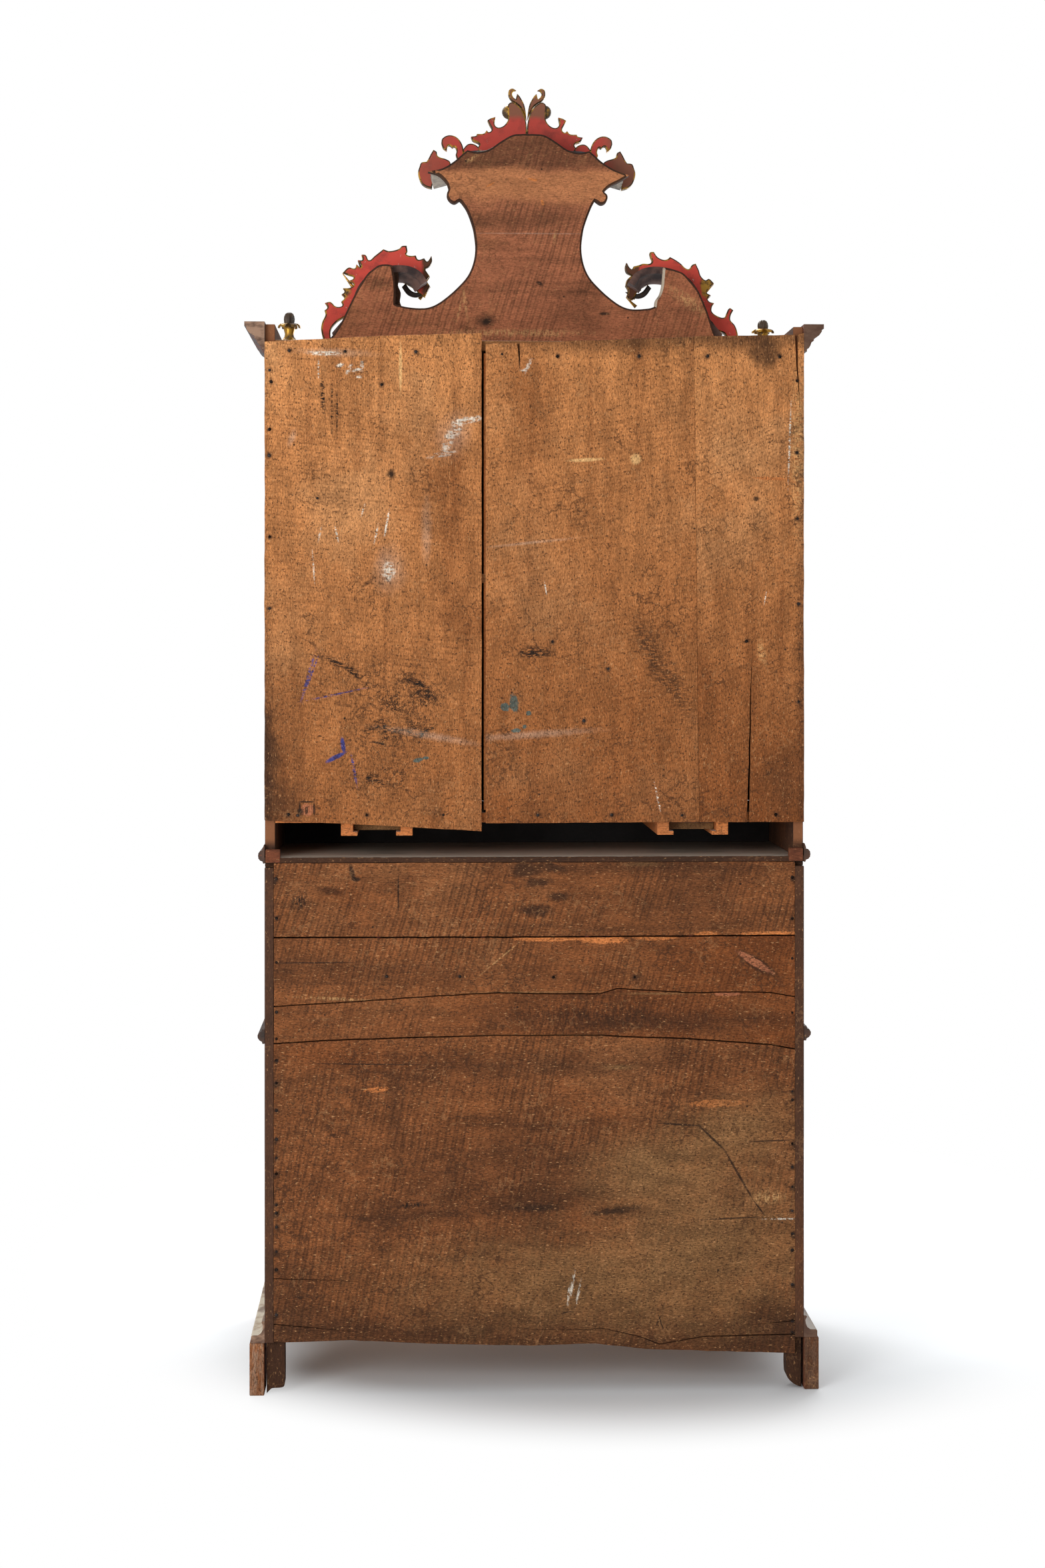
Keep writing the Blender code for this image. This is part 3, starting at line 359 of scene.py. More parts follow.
def mark_kinds():
    """Each kind of mark: its colour, how ragged and how soft its edge is, its strength, and what breaks it up."""
    tint = colours()
    return {
        "chalk": (tint.chalk, 1.5, 0.45, 0.95, "dry"),
        "haze": (tint.chalk, 1.6, 0.9, 0.15, None),
        "stain": (tint.soot, 2.3, 0.55, 0.72, None),
        "line": (tint.soot, 0.6, 0.4, 0.85, None),
        "scuff": (tint.soot, 2.2, 0.6, 1.0, "dry"),
        "net": (tint.soot, 2.2, 0.9, 0.9, "net"),
        "grey": (tint.greyed, 1.6, 1.0, 0.72, None),
        "smear": (tint.soot, 2.2, 0.9, 0.55, "dry"),
        "warm": (tint.deep_wood_and_shade, 2.2, 1.1, 0.34, None),
        "dirt": (tint.low_dark, 2.2, 1.1, 0.55, None),
        "blue": (tint.blue, 0.9, 0.3, 0.9, None),
        "blue_dry": (tint.blue, 1.2, 0.5, 0.85, "dry"),
        "green": (tint.green, 1.3, 0.14, 0.92, None),
        "fresh": (tint.fresh, 1.6, 0.16, 0.92, None),
        "pale": (tint.pale, 0.9, 0.4, 0.8, None),
        "chip": (tint.crest, 1.2, 0.2, 0.85, None),
        "rubbed": (tint.pale, 1.6, 0.9, 0.5, "dry"),
    }


def add_marks(finish, tone, grain, marks):
    """Paint marks on a board. A mark is its kind, place across and up, reach across and up, and turn."""
    kinds = mark_kinds()
    fine = finish.grit((95, 95, 95), 4, 0.65)
    broad = finish.grit((24, 24, 24), 6, 0.72)
    wander = finish.math("ABSOLUTE", finish.math("SUBTRACT", finish.grit((64, 64, 64), 4, 0.72), 0.5))
    dry = finish.ramp(finish.grit(along(grain, 250, 80), 3, 0.7), 0.43, 0.55)
    patchy = finish.ramp(finish.grit((34, 34, 34), 4, 0.7), 0.36, 0.54)
    breaks = {"dry": dry, "net": finish.math("MULTIPLY", finish.ramp(wander, 0.006, 0.06, 1.0, 0.0), patchy)}
    for kind, across, up, wide, tall, turn in marks:
        tint, ragged, soft, strength, broken = kinds[kind]
        edge = broad if min(wide, tall) > BROAD_MARK else fine
        cover = finish.blot((across, up), (wide, tall), turn, ragged, soft, edge)
        worn = finish.math("MULTIPLY", cover, breaks[broken]) if broken else cover
        tone = finish.mix(finish.math("MULTIPLY", worn, strength), tone, tint)
    return tone


def add_nail_stains(finish, tone, nails):
    """Darken the wood around nails at places across and up."""
    nearest = None
    for across, up in nails:
        far = finish.vector("DISTANCE", finish.place, (across, finish.depth, up)).outputs["Value"]
        nearest = far if nearest is None else finish.math("MINIMUM", nearest, far)
    if nearest is None:
        return tone
    reach = sizes().nail_stain
    ring = finish.ramp(nearest, reach * 0.3, reach, 0.8, 0.0)
    patch = finish.ramp(finish.grit((110, 110, 110), 3, 0.6), 0.34, 0.6)
    return finish.mix(finish.math("MULTIPLY", ring, patch), tone, colours().iron_stain)


def board_finish(name, grain, tones, shift, saw=None, marks=(), nails=(), edge_dirt=None, wood_and_shade_gradient=None, rough=1.22):
    """Old bare board: wood, darker along one axis partly by its own tone and partly by painted shade, dirt along an
    edge, then its marks and nail stains.
    """
    finish = Finish(name)
    tone = wood_figure(finish, grain, tones, shift, saw)
    # Painted shade in part: darker towards one end, partly the wood's own tone and partly where less light falls
    if wood_and_shade_gradient:
        axis, start, end, share = wood_and_shade_gradient
        tone = finish.mix(finish.ramp(finish.axis(axis), start, end, 0.0, share), tone, colours().deep_wood_and_shade)
    if edge_dirt:
        axis, start, end = edge_dirt
        stray = finish.grit((26, 26, 26), 4, 0.65)
        place = finish.math("MULTIPLY_ADD", stray, (start - end) * 0.9, finish.axis(axis))
        tone = finish.mix(finish.ramp(place, start, end, 0.55, 0.0), tone, colours().soot)
    marked = add_nail_stains(finish, add_marks(finish, tone, grain, marks), nails)
    tone = finish.mix(finish.ramp(finish.facing((0, 1, 0)), -0.2, 0.1), tone, marked)
    tone, height = gritty(finish, grain, tone, shift, rough)
    tone = worm_holes(finish, tone)
    return finish.finish(tone, finish.ramp(height, -0.7, -0.3, 0.95, 0.78), height, 0.0014, shine=0.2)


def plain_wood(name, grain, tones, relief=0.0008, dusty=False):
    """Wood without marks, with dust on its level faces where asked."""
    finish = Finish(name)
    tone, height = wood_tones(finish, grain, tones, (1.7, 0.4, 2.9))
    if dusty:
        settled = finish.ramp(finish.facing((0, 0, 1)), 0.6, 0.95)
        drift = finish.ramp(finish.grit((6, 16, 6), 4, 0.6), 0.28, 0.5, 0.55, 0.97)
        tone = finish.mix(finish.math("MULTIPLY", settled, drift), tone, colours().dust)
    return finish.finish(tone, 0.85, height, relief, shine=0.25)


def lacquer_finish(name, bare_behind=None, bare=None):
    """Old plum-brown lacquer, rubbed and cracked, over softwood that is bare behind a given depth."""
    tint = colours()
    finish = Finish(name)
    clouds = finish.grit((7, 7, 7), 5, 0.6)
    crackle = finish.add("ShaderNodeTexVoronoi", finish.place, None, 160.0, feature="DISTANCE_TO_EDGE").outputs[0]
    seams = finish.ramp(crackle, 0.0, 0.06, 1.0, 0.0)
    tone = finish.mix(finish.ramp(clouds, 0.35, 0.68), tint.lacquer_dark, tint.lacquer)
    rubbed = finish.ramp(finish.grit((26, 26, 26), 5, 0.65), 0.63, 0.72, 0.0, 0.55)
    tone = finish.mix(rubbed, tone, tint.red_brown)
    tone = finish.mix(finish.math("MULTIPLY", seams, 0.35), tone, tint.lacquer_dark)
    gloss = finish.ramp(clouds, 0.3, 0.7, 0.5, 0.3)
    height = finish.math("MULTIPLY", seams, -1.0)
    if bare_behind is not None:
        wood = wood_figure(finish, "X", bare or inner_tones(), (0.3, 2.2, 1.1))
        behind = finish.math("GREATER_THAN", finish.axis("Y"), bare_behind)
        tone = finish.mix(behind, tone, wood)
        gloss = finish.math("MULTIPLY_ADD", behind, 0.4, gloss)
    return finish.finish(tone, gloss, height, 0.0002)


def painted_finish(name, ground, worn, chips, chip_share=0.6, roughness=0.6):
    """Brushed paint that is dirty in patches and chipped to a paler ground."""
    finish = Finish(name)
    clouds = finish.grit((16, 16, 16), 5, 0.62)
    flakes = finish.grit((75, 75, 75), 4, 0.7)
    tone = finish.mix(finish.ramp(clouds, 0.4, 0.66), ground, worn)
    chipped = finish.ramp(flakes, chip_share, chip_share + 0.06, 0.0, 0.85)
    tone = finish.mix(chipped, tone, chips)
    height = finish.math("MULTIPLY_ADD", chipped, -0.6, clouds)
    return finish.finish(tone, finish.ramp(clouds, 0.3, 0.7, roughness, roughness + 0.15), height, 0.0006)


def gilded_tones(finish, worn=0.36):
    """Worn gilding: its colour and the share of it that is still gold."""
    tint = colours()
    clouds = finish.grit((48, 48, 48), 4, 0.65)
    kept = finish.ramp(clouds, worn, worn + 0.22)
    tone = finish.mix(kept, tint.gilt_dark, tint.gilt)
    rubbed = finish.ramp(finish.grit((110, 110, 110), 3, 0.6), 0.62, 0.7, 0.0, 0.6)
    return finish.mix(rubbed, tone, tint.red_dark), kept


def gilt_finish(name, worn=0.36):
    """Worn water gilding over a red ground."""
    finish = Finish(name)
    tone, kept = gilded_tones(finish, worn)
    metal = finish.math("MULTIPLY", kept, 0.75)
    return finish.finish(tone, finish.ramp(kept, 0.0, 1.0, 0.62, 0.36), kept, 0.0005, metal)


def leaf_finish(name, shaded_inside=None, head=None):
    """Carved leaf: red-painted back with gilt and browned tips. Its inner tips may be darkened, partly worn bronze
    gilding and partly painted shade, and its head browned.
    """
    tint = colours()
    finish = Finish(name, LEAF_BACK)
    gold, kept = gilded_tones(finish)
    clouds = finish.grit((30, 30, 30), 5, 0.65)
    out = finish.math("ABSOLUTE", finish.axis("X"))
    red = finish.mix(finish.ramp(clouds, 0.48, 0.72, 0.0, 0.75), tint.red, tint.red_dark)
    chips = finish.ramp(finish.grit((120, 120, 120), 3, 0.65), 0.66, 0.74, 0.0, 0.5)
    red = finish.mix(chips, red, tint.chalk)
    if shaded_inside is not None:
        # Painted shade in part: the inner tips go towards dark worn gilding
        stray = finish.math("MULTIPLY_ADD", clouds, 0.02, out)
        dark = finish.ramp(stray, shaded_inside + 0.014, shaded_inside + 0.006, 0.0, 0.92)
        red = finish.mix(dark, red, tint.gilt_dark)
        for side in SIDES.values():
            place = (side * GILT_TIP[0], CORNICE_TOP + GILT_TIP[1])
            tips = finish.blot(place, GILT_TIP_REACH, 0, 1.6, 0.3, clouds)
            red = finish.mix(tips, red, gold)
    if head is not None:
        stray = finish.math("MULTIPLY_ADD", clouds, 0.02, finish.axis("Z"))
        red = finish.mix(0.45, red, tint.red_dark)
        red = finish.mix(finish.ramp(stray, head, head + 0.014, 0.0, 0.9), red, tint.browned)
        browner = finish.ramp(finish.axis("X"), -0.15, 0.15, 0.85, 0.4)
        ears = finish.math("MULTIPLY", finish.ramp(out, 0.15, 0.2), browner)
        red = finish.mix(ears, red, tint.browned)
    patches = finish.grit((60, 60, 60), 3, 0.6, finish.moved((0.4, 1.2, 2.6)))
    rim = finish.mix(finish.ramp(patches, 0.46, 0.56), tint.gilt_dark, gold)
    back = finish.ramp(finish.facing((0, 1, 0)), 0.86, 0.98)
    tone = finish.mix(back, rim, red)
    metal = finish.math("MULTIPLY", finish.math("SUBTRACT", 1.0, back), finish.math("MULTIPLY", kept, 0.5))
    return finish.finish(tone, finish.ramp(back, 0.0, 1.0, 0.45, 0.7), clouds, 0.001, metal, 0.3)


def metal_finish(name, tone, dark, roughness):
    """Old metal, bright where it is handled and dull in patches."""
    finish = Finish(name)
    clouds = finish.grit((60, 60, 60), 4, 0.6)
    worn = finish.ramp(clouds, 0.35, 0.65)
    return finish.finish(finish.mix(worn, dark, tone), finish.ramp(worn, 0, 1, roughness + 0.25, roughness),
                         clouds, 0.0003, 1.0)


def mirror_finish():
    """Old silvered glass with foxed spots."""
    tint = colours()
    finish = Finish("mirror")
    haze = finish.grit((8, 8, 8), 5, 0.6)
    spots = finish.ramp(finish.grit((55, 55, 55), 4, 0.7), 0.62, 0.7)
    foxed = finish.math("MULTIPLY", spots, finish.ramp(haze, 0.45, 0.65))
    tone = finish.mix(foxed, tint.silvering, tint.foxing)
    metal = finish.ramp(foxed, 0.0, 1.0, 1.0, 0.3)
    return finish.finish(tone, finish.ramp(haze, 0.3, 0.7, 0.04, 0.12), haze, 0.0001, metal)


# Shapes

def trace(points, closed=True, steps=5):
    """A fine line through given points. A third value marks a sharp corner, other points are rounded."""
    count = len(points)
    spots = [Vector(point[:2]) for point in points]
    corner = [len(point) > 2 for point in points]
    if not closed:
        corner[0] = corner[-1] = True
    line = []
    for i in range(count if closed else count - 1):
        j = (i + 1) % count
        chord = spots[j] - spots[i]
        leave = chord if corner[i] else (spots[j] - spots[i - 1]).normalized() * chord.length
        arrive = chord if corner[j] else (spots[(j + 1) % count] - spots[i]).normalized() * chord.length
        for step in range(steps):
            t = step / steps
            pull = (2 * t ** 3 - 3 * t ** 2 + 1) * spots[i] + (3 * t ** 2 - 2 * t ** 3) * spots[j]
            line.append(pull + (t ** 3 - 2 * t ** 2 + t) * leave + (t ** 3 - t ** 2) * arrive)
    if not closed:
        line.append(spots[-1])
    return line


def worn_line(points, spacing=0.018, closed=True):
    """A straight-edged line broken into short stretches that stray a little."""
    spots = [Vector(point) for point in points]
    stray = sizes().wobble
    line = []
    for i, spot in enumerate(spots if closed else spots[:-1]):
        chord = spots[(i + 1) % len(spots)] - spot
        parts = max(1, round(chord.length / spacing))
        for step in range(parts):
            place = spot + chord * (step / parts)
            if step:
                spot_noise = noise.noise_vector(Vector((place.x * 30, place.y * 30, 0.5)))
                place = place + Vector((spot_noise.x, spot_noise.y)) * stray
            line.append(place)
    if not closed:
        line.append(spots[-1])
    return line


def crack(path, width, first, level=False):
    """Both lips of a crack from its mouth to its tip, as a stretch of a board's outline. The first lip is the one
    towards +X, or above a level crack, where first is 1."""
    lips = []
    for side in (first, -first):
        opening = [side * width * (1 - i / (len(path) - 1)) / 2 for i in range(len(path) - 1)]
        if level:
            lips.append([(x, up + half) for (x, up), half in zip(path, opening)])
        else:
            lips.append([(x + half, up) for (x, up), half in zip(path, opening)])
    return lips[0] + [path[-1]] + lips[1][::-1]


def mesh_of(bm, name):
    """A mesh from a bmesh, its faces turned outwards."""
    bmesh.ops.recalc_face_normals(bm, faces=bm.faces)
    mesh = bpy.data.meshes.new(name)
    bm.to_mesh(mesh)
    bm.free()
    return mesh


def add_slab(bm, outline, front, back):
    """Give a flat outline (across, up) a thickness from front to back."""
    face = bm.faces.new([bm.verts.new((x, front, z)) for x, z in outline])
    grown = bmesh.ops.extrude_face_region(bm, geom=[face])["geom"]
    verts = [item for item in grown if isinstance(item, bmesh.types.BMVert)]
    bmesh.ops.translate(bm, verts=verts, vec=(0, back - front, 0))


def drawn_in(line, by):
    """A closed line moved inwards by a distance."""
    spots = [Vector(point) for point in line]
    area = sum(a.x * b.y - b.x * a.y for a, b in zip(spots, spots[1:] + spots[:1]))
    turn = math.copysign(by, area)
    moved = []
    for i, spot in enumerate(spots):
        aim = (spots[(i + 1) % len(spots)] - spots[i - 1]).normalized()
        moved.append(spot + Vector((-aim.y, aim.x)) * turn)
    return moved


def add_rimmed(bm, outline, front, back, rim):
    """A slab whose back edge slants away to a rim, its back filled between the edge and a line drawn in from it."""
    edge = [Vector(point) for point in outline]
    count = len(edge)
    inner = [spot for spot in drawn_in(edge, rim) if min((spot - other).length for other in edge) > rim * 0.8]
    loop = [(i, (i + 1) % count) for i in range(count)]
    spots, _, faces, sources, _, _ = geometry.delaunay_2d_cdt(edge + inner, loop, [], 1, 0.00001)
    on_edge = {source: k for k, origins in enumerate(sources) for source in origins if source < count}
    low = set(on_edge.values())
    rear = [bm.verts.new((spot.x, back - rim * 0.7 if k in low else back, spot.y)) for k, spot in enumerate(spots)]
    for face in faces:
        bm.faces.new([rear[k] for k in face])
    fore = [bm.verts.new((spot.x, front, spot.y)) for spot in edge]
    bm.faces.new(fore)
    for i, j in loop:
        bm.faces.new((fore[i], fore[j], rear[on_edge[j]], rear[on_edge[i]]))
    bmesh.ops.delete(bm, geom=[vert for vert in rear if not vert.link_faces], context="VERTS")


def formed(name, add, *values, **settings):
    """A mesh made by one call of an adding function."""
    bm = bmesh.new()
    add(bm, *values, **settings)
    return mesh_of(bm, name)


def add_box(bm, low, high):
    """A box between two corners."""
    low, high = Vector(low), Vector(high)
    made = bmesh.ops.create_cube(bm, size=1.0)["verts"]
    bmesh.ops.scale(bm, verts=made, vec=high - low)
    bmesh.ops.translate(bm, verts=made, vec=(low + high) / 2)


def add_loft(bm, rings, closed=False):
    """Skin a run of like rings, capped at both ends unless the run is closed."""
    rows = [[bm.verts.new(point) for point in ring] for ring in rings]
    pairs = list(zip(rows, rows[1:] + rows[:1])) if closed else list(zip(rows, rows[1:]))
    for ring, following in pairs:
        for i in range(len(ring)):
            j = (i + 1) % len(ring)
            bm.faces.new((ring[i], ring[j], following[j], following[i]))
    if not closed:
        bm.faces.new(rows[0])
        bm.faces.new(rows[-1])


def add_turning(bm, profile, place, aim, steps=24, lobes=0, depth=0.0):
    """A turned piece: a profile of (radius, height) from a place along an aim, ribbed into lobes where asked."""
    turn = Vector((0, 0, 1)).rotation_difference(Vector(aim))
    rings = []
    for radius, height in profile:
        ring = []
        for step in range(steps):
            angle = math.tau * step / steps
            rib = 1.0 - depth * (0.5 - 0.5 * math.cos(angle * lobes)) if lobes else 1.0
            spot = Vector((radius * rib * math.cos(angle), radius * rib * math.sin(angle), height))
            ring.append(Vector(place) + turn @ spot)
        rings.append(ring)
    add_loft(bm, rings)


def add_tube(bm, path, radii, sides=8):
    """A round rod of changing radius along a path in space."""
    points = [Vector(point) for point in path]
    rings = []
    for i, point in enumerate(points):
        aim = (points[min(i + 1, len(points) - 1)] - points[max(i - 1, 0)]).normalized()
        across = aim.cross(Vector((0, 1, 0))).normalized()
        up = across.cross(aim)
        ring = []
        for k in range(sides):
            angle = math.tau * k / sides
            ring.append(point + (across * math.cos(angle) + up * math.sin(angle)) * radii[i])
        rings.append(ring)
    add_loft(bm, rings)


def piece(name, mesh, finish, body, replaces=(), wear=0.0, smooth=True):
    """Place a mesh as a named piece of the cabinet that moves with a body."""
    made = bpy.data.objects.new(name, mesh)
    bpy.context.scene.collection.objects.link(made)
    mesh.materials.clear()
    mesh.materials.append(finish)
    if smooth:
        mesh.polygons.foreach_set("use_smooth", [True] * len(mesh.polygons))
        mesh.set_sharp_from_angle(angle=math.radians(32))
    if wear:
        bevel = made.modifiers.new("worn edges", "BEVEL")
        bevel.width = wear
        bevel.segments = 2
        bevel.limit_method = "ANGLE"
        bevel.angle_limit = math.radians(40)
    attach(made, body)
    if replaces:
        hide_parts(*replaces)
    return made


def eased(node, finish):
    """A frame node's own shape with its sharp edges worn."""
    source = frame["nodes"][node]
    bm = bmesh.new()
    bm.from_mesh(source.data)
    bmesh.ops.remove_doubles(bm, verts=bm.verts, dist=0.00002)
    bmesh.ops.dissolve_limit(bm, angle_limit=math.radians(0.5), verts=bm.verts, edges=bm.edges)
    mesh = mesh_of(bm, node + "_eased")
    return piece(node + "_eased", mesh, finish, source["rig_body"], [node], sizes().wear, smooth=False)


# Back boards of the upper case

LEFT_BOARD = (
    (CASE_HALF, 2.1), (0.324, 2.112), (0.1075, 2.1195), (0.1075, 1.123), (0.324, 1.136), (CASE_HALF, 1.146),
)
MIDDLE_CRACK = ((0.034, 2.0995), (0.031, 2.058))
BATTEN = ((0.096, BACK_FRONT_Y - 0.01, 1.165), (0.1032, BACK_FRONT_Y - SEAM, 2.08))
UPPER_SAW = (0.0065, 0.27)
TOP_CRACK = ((-0.5246, 2.119), (-0.526, 2.061), (-0.529, 2.021), (-0.531, 1.961))
FOOT_CRACK = ((-0.427, 1.14), (-0.43, 1.278), (-0.433, 1.414), (-0.436, 1.504))
LEFT_NAILS = (
    (0.491, 2.082), (0.38, 2.081), (0.239, 2.081), (0.53, 2.043), (0.527, 2.02), (0.307, 2.015), (0.53, 1.925),
    (0.531, 1.873), (0.435, 1.788), (0.53, 1.711), (0.53, 1.568), (0.492, 1.158), (0.474, 1.156),
    (0.337, 1.156), (0.184, 1.156),
)
MIDDLE_NAILS = (
    (0.067, 2.077), (-0.044, 2.073), (-0.208, 2.074), (-0.034, 1.502), (-0.146, 1.448), (-0.097, 1.344),
    (-0.005, 1.155), (-0.153, 1.155), (-0.294, 1.154),
)
RIGHT_NAILS = (
    (-0.346, 2.075), (-0.491, 2.074), (-0.526, 2.026), (-0.526, 1.882), (-0.527, 1.749), (-0.529, 1.578),
    (-0.529, 1.382), (-0.424, 1.503), (-0.483, 1.155),
)
LEFT_MARKS = (
    ("haze", 0.398, 2.079, 0.06, 0.006, -2), ("chalk", 0.42, 2.077, 0.03, 0.004, 0),
    ("chalk", 0.433, 2.052, 0.002, 0.009, 0), ("chalk", 0.433, 2.034, 0.0016, 0.006, 0),
    ("chalk", 0.39, 2.054, 0.007, 0.004, 20), ("chalk", 0.372, 2.046, 0.004, 0.009, -30),
    ("chalk", 0.355, 2.044, 0.01, 0.0035, 14), ("chalk", 0.346, 2.052, 0.0035, 0.01, 0),
    ("chalk", 0.352, 2.03, 0.006, 0.003, 0), ("haze", 0.486, 1.908, 0.005, 0.014, -20),
    ("pale", 0.2696, 2.049, 0.0032, 0.047, 0), ("scuff", 0.424, 1.994, 0.0045, 0.04, 4),
    ("scuff", 0.406, 1.966, 0.0022, 0.046, 0), ("scuff", 0.396, 1.96, 0.0018, 0.04, 0),
    ("chalk", 0.135, 1.945, 0.028, 0.006, 8), ("chalk", 0.158, 1.93, 0.01, 0.016, -25),
    ("chalk", 0.174, 1.904, 0.009, 0.024, -20), ("chalk", 0.186, 1.876, 0.024, 0.005, 12),
    ("haze", 0.163, 1.915, 0.026, 0.036, -25), ("chalk", 0.43, 1.718, 0.002, 0.013, -12),
    ("chalk", 0.397, 1.718, 0.0018, 0.014, 12), ("chalk", 0.344, 1.765, 0.0018, 0.012, -16),
    ("chalk", 0.318, 1.718, 0.002, 0.017, -12), ("chalk", 0.297, 1.738, 0.002, 0.024, -10),
    ("chalk", 0.2934, 1.642, 0.011, 0.017, 0), ("haze", 0.293, 1.646, 0.024, 0.034, 0),
    ("chalk", 0.443, 1.652, 0.0016, 0.028, 4), ("haze", 0.218, 1.725, 0.008, 0.05, 0),
    ("stain", 0.288, 1.8365, 0.008, 0.01, 0), ("line", 0.288, 1.8365, 0.0045, 0.0055, 0),
    ("blue_dry", 0.454, 1.43, 0.003, 0.046, -16), ("blue_dry", 0.444, 1.444, 0.0018, 0.034, -20),
    ("blue_dry", 0.398, 1.397, 0.056, 0.0018, 12), ("blue", 0.384, 1.295, 0.0042, 0.015, 8),
    ("blue", 0.398, 1.272, 0.022, 0.0042, 27), ("blue_dry", 0.362, 1.246, 0.0026, 0.03, 10),
    ("scuff", 0.392, 1.458, 0.03, 0.005, -22), ("scuff", 0.366, 1.44, 0.022, 0.0045, -40),
    ("scuff", 0.243, 1.424, 0.02, 0.006, -20), ("scuff", 0.226, 1.412, 0.024, 0.007, -35),
    ("scuff", 0.214, 1.396, 0.02, 0.005, -30), ("scuff", 0.236, 1.398, 0.014, 0.006, 10),
    ("scuff", 0.322, 1.33, 0.02, 0.0035, 15), ("scuff", 0.3, 1.322, 0.0035, 0.022, 10),
    ("scuff", 0.312, 1.3, 0.016, 0.003, -10), ("scuff", 0.214, 1.326, 0.02, 0.003, 25),
    ("scuff", 0.228, 1.312, 0.003, 0.016, -20), ("scuff", 0.316, 1.222, 0.026, 0.0045, -12),
    ("scuff", 0.33, 1.232, 0.012, 0.003, 20), ("net", 0.225, 1.39, 0.048, 0.046, 0),
    ("net", 0.33, 1.42, 0.07, 0.045, -30), ("net", 0.29, 1.322, 0.075, 0.05, 0),
    ("net", 0.31, 1.232, 0.06, 0.034, 0), ("green", 0.234, 1.266, 0.01, 0.0045, 20),
    ("green", 0.219, 1.27, 0.006, 0.003, 0), ("dirt", 0.538, 1.28, 0.046, 0.15, 0),
    ("stain", 0.545, 1.26, 0.026, 0.11, 0), ("dirt", 0.505, 1.18, 0.045, 0.04, 0),
    ("haze", 0.21, 1.314, 0.07, 0.006, -10), ("chip", 0.456, 1.167, 0.014, 0.012, 0),
    ("line", 0.4565, 1.166, 0.003, 0.008, 0), ("line", 0.47, 1.171, 0.0022, 0.013, 0),
    ("line", 0.4415, 1.168, 0.0022, 0.013, 0), ("warm", 0.2, 1.86, 0.06, 0.08, 0),
    ("warm", 0.16, 1.7, 0.05, 0.14, 0), ("line", 0.456, 1.183, 0.015, 0.0018, 0),
    ("line", 0.469, 1.164, 0.006, 0.006, 0),
)
MIDDLE_MARKS = (
    ("warm", 0.01, 1.95, 0.03, 0.11, 0), ("dirt", -0.15, 2.096, 0.15, 0.014, 0),
    ("chalk", 0.014, 2.054, 0.0034, 0.013, -25), ("chalk", 0.022, 2.046, 0.008, 0.003, 10),
    ("pale", -0.099, 1.866, 0.032, 0.0036, 3), ("pale", -0.201, 1.868, 0.01, 0.01, 20),
    ("haze", 0.01, 1.7, 0.07, 0.0024, 6), ("chalk", -0.02, 1.61, 0.0014, 0.012, 10),
    ("green", 0.043, 1.38, 0.009, 0.017, 6), ("green", 0.061, 1.371, 0.009, 0.009, 0),
    ("green", 0.014, 1.359, 0.005, 0.005, 0), ("green", 0.022, 1.332, 0.004, 0.004, 0),
    ("green", 0.04, 1.324, 0.011, 0.004, 5), ("haze", 0.01, 1.316, 0.1, 0.006, 4),
    ("scuff", 0.0, 1.48, 0.03, 0.012, 0), ("smear", -0.225, 1.49, 0.012, 0.06, 22),
    ("smear", -0.25, 1.445, 0.02, 0.08, 24), ("smear", -0.285, 1.41, 0.014, 0.07, 22),
    ("warm", 0.02, 2.02, 0.06, 0.05, 0), ("chalk", -0.245, 1.19, 0.002, 0.024, 12),
    ("line", 0.0325, 2.075, 0.0016, 0.026, 2),
)
RIGHT_MARKS = (
    ("stain", -0.458, 2.083, 0.032, 0.03, 0), ("rubbed", -0.529, 1.89, 0.012, 0.13, 0),
    ("chalk", -0.511, 1.902, 0.002, 0.07, -2), ("dirt", -0.395, 2.102, 0.06, 0.014, 0),
    ("fresh", -0.471, 1.83, 0.034, 0.003, -2), ("line", -0.443, 1.789, 0.006, 0.0045, 0),
    ("rubbed", -0.455, 1.48, 0.006, 0.02, 10), ("chalk", -0.462, 1.59, 0.0012, 0.012, -10),
    ("dirt", -0.5, 1.22, 0.03, 0.06, 0), ("dirt", -0.537, 1.5, 0.009, 0.38, 0),
)


def pine_tones():
    """Body, dark and light tones of the upper back boards."""
    tint = colours()
    return tint.pine, tint.pine_dark, tint.pine_light


def low_tones():
    """Body, dark and light tones of the bureau's back boards."""
    tint = colours()
    return tint.low_pine, tint.low_dark, tint.low_light


def inner_tones():
    """Body, dark and light tones of wood inside the cabinet."""
    tint = colours()
    return tint.inside, tint.low_pine, tint.pine_light


def board(name, outline, finish, replaces):
    """A worn back board of an outline (across, up)."""
    mesh = formed(name, add_slab, worn_line(outline), BACK_FRONT_Y, BACK_Y)
    return piece(name, mesh, finish, "case", replaces, sizes().wear, smooth=False)


def nails(name, places):
    """Forged nail heads, each a little different, driven level with the boards."""
    chance = random.Random(name)
    radius = sizes().nail_head
    bm = bmesh.new()
    for across, up in places:
        r = radius * chance.uniform(0.75, 1.15)
        profile = ((r * 0.7, -0.003), (r, 0.0), (r * 0.95, 0.0007), (r * 0.55, 0.0014), (r * 0.12, 0.0015))
        tilt = (chance.uniform(-0.12, 0.12), 1.0, chance.uniform(-0.12, 0.12))
        add_turning(bm, profile, (across, BACK_Y, up), tilt, steps=7)
    iron = metal_finish(name, colours().iron, colours().soot, 0.55)
    return piece(name, mesh_of(bm, name), iron, "case", smooth=False)


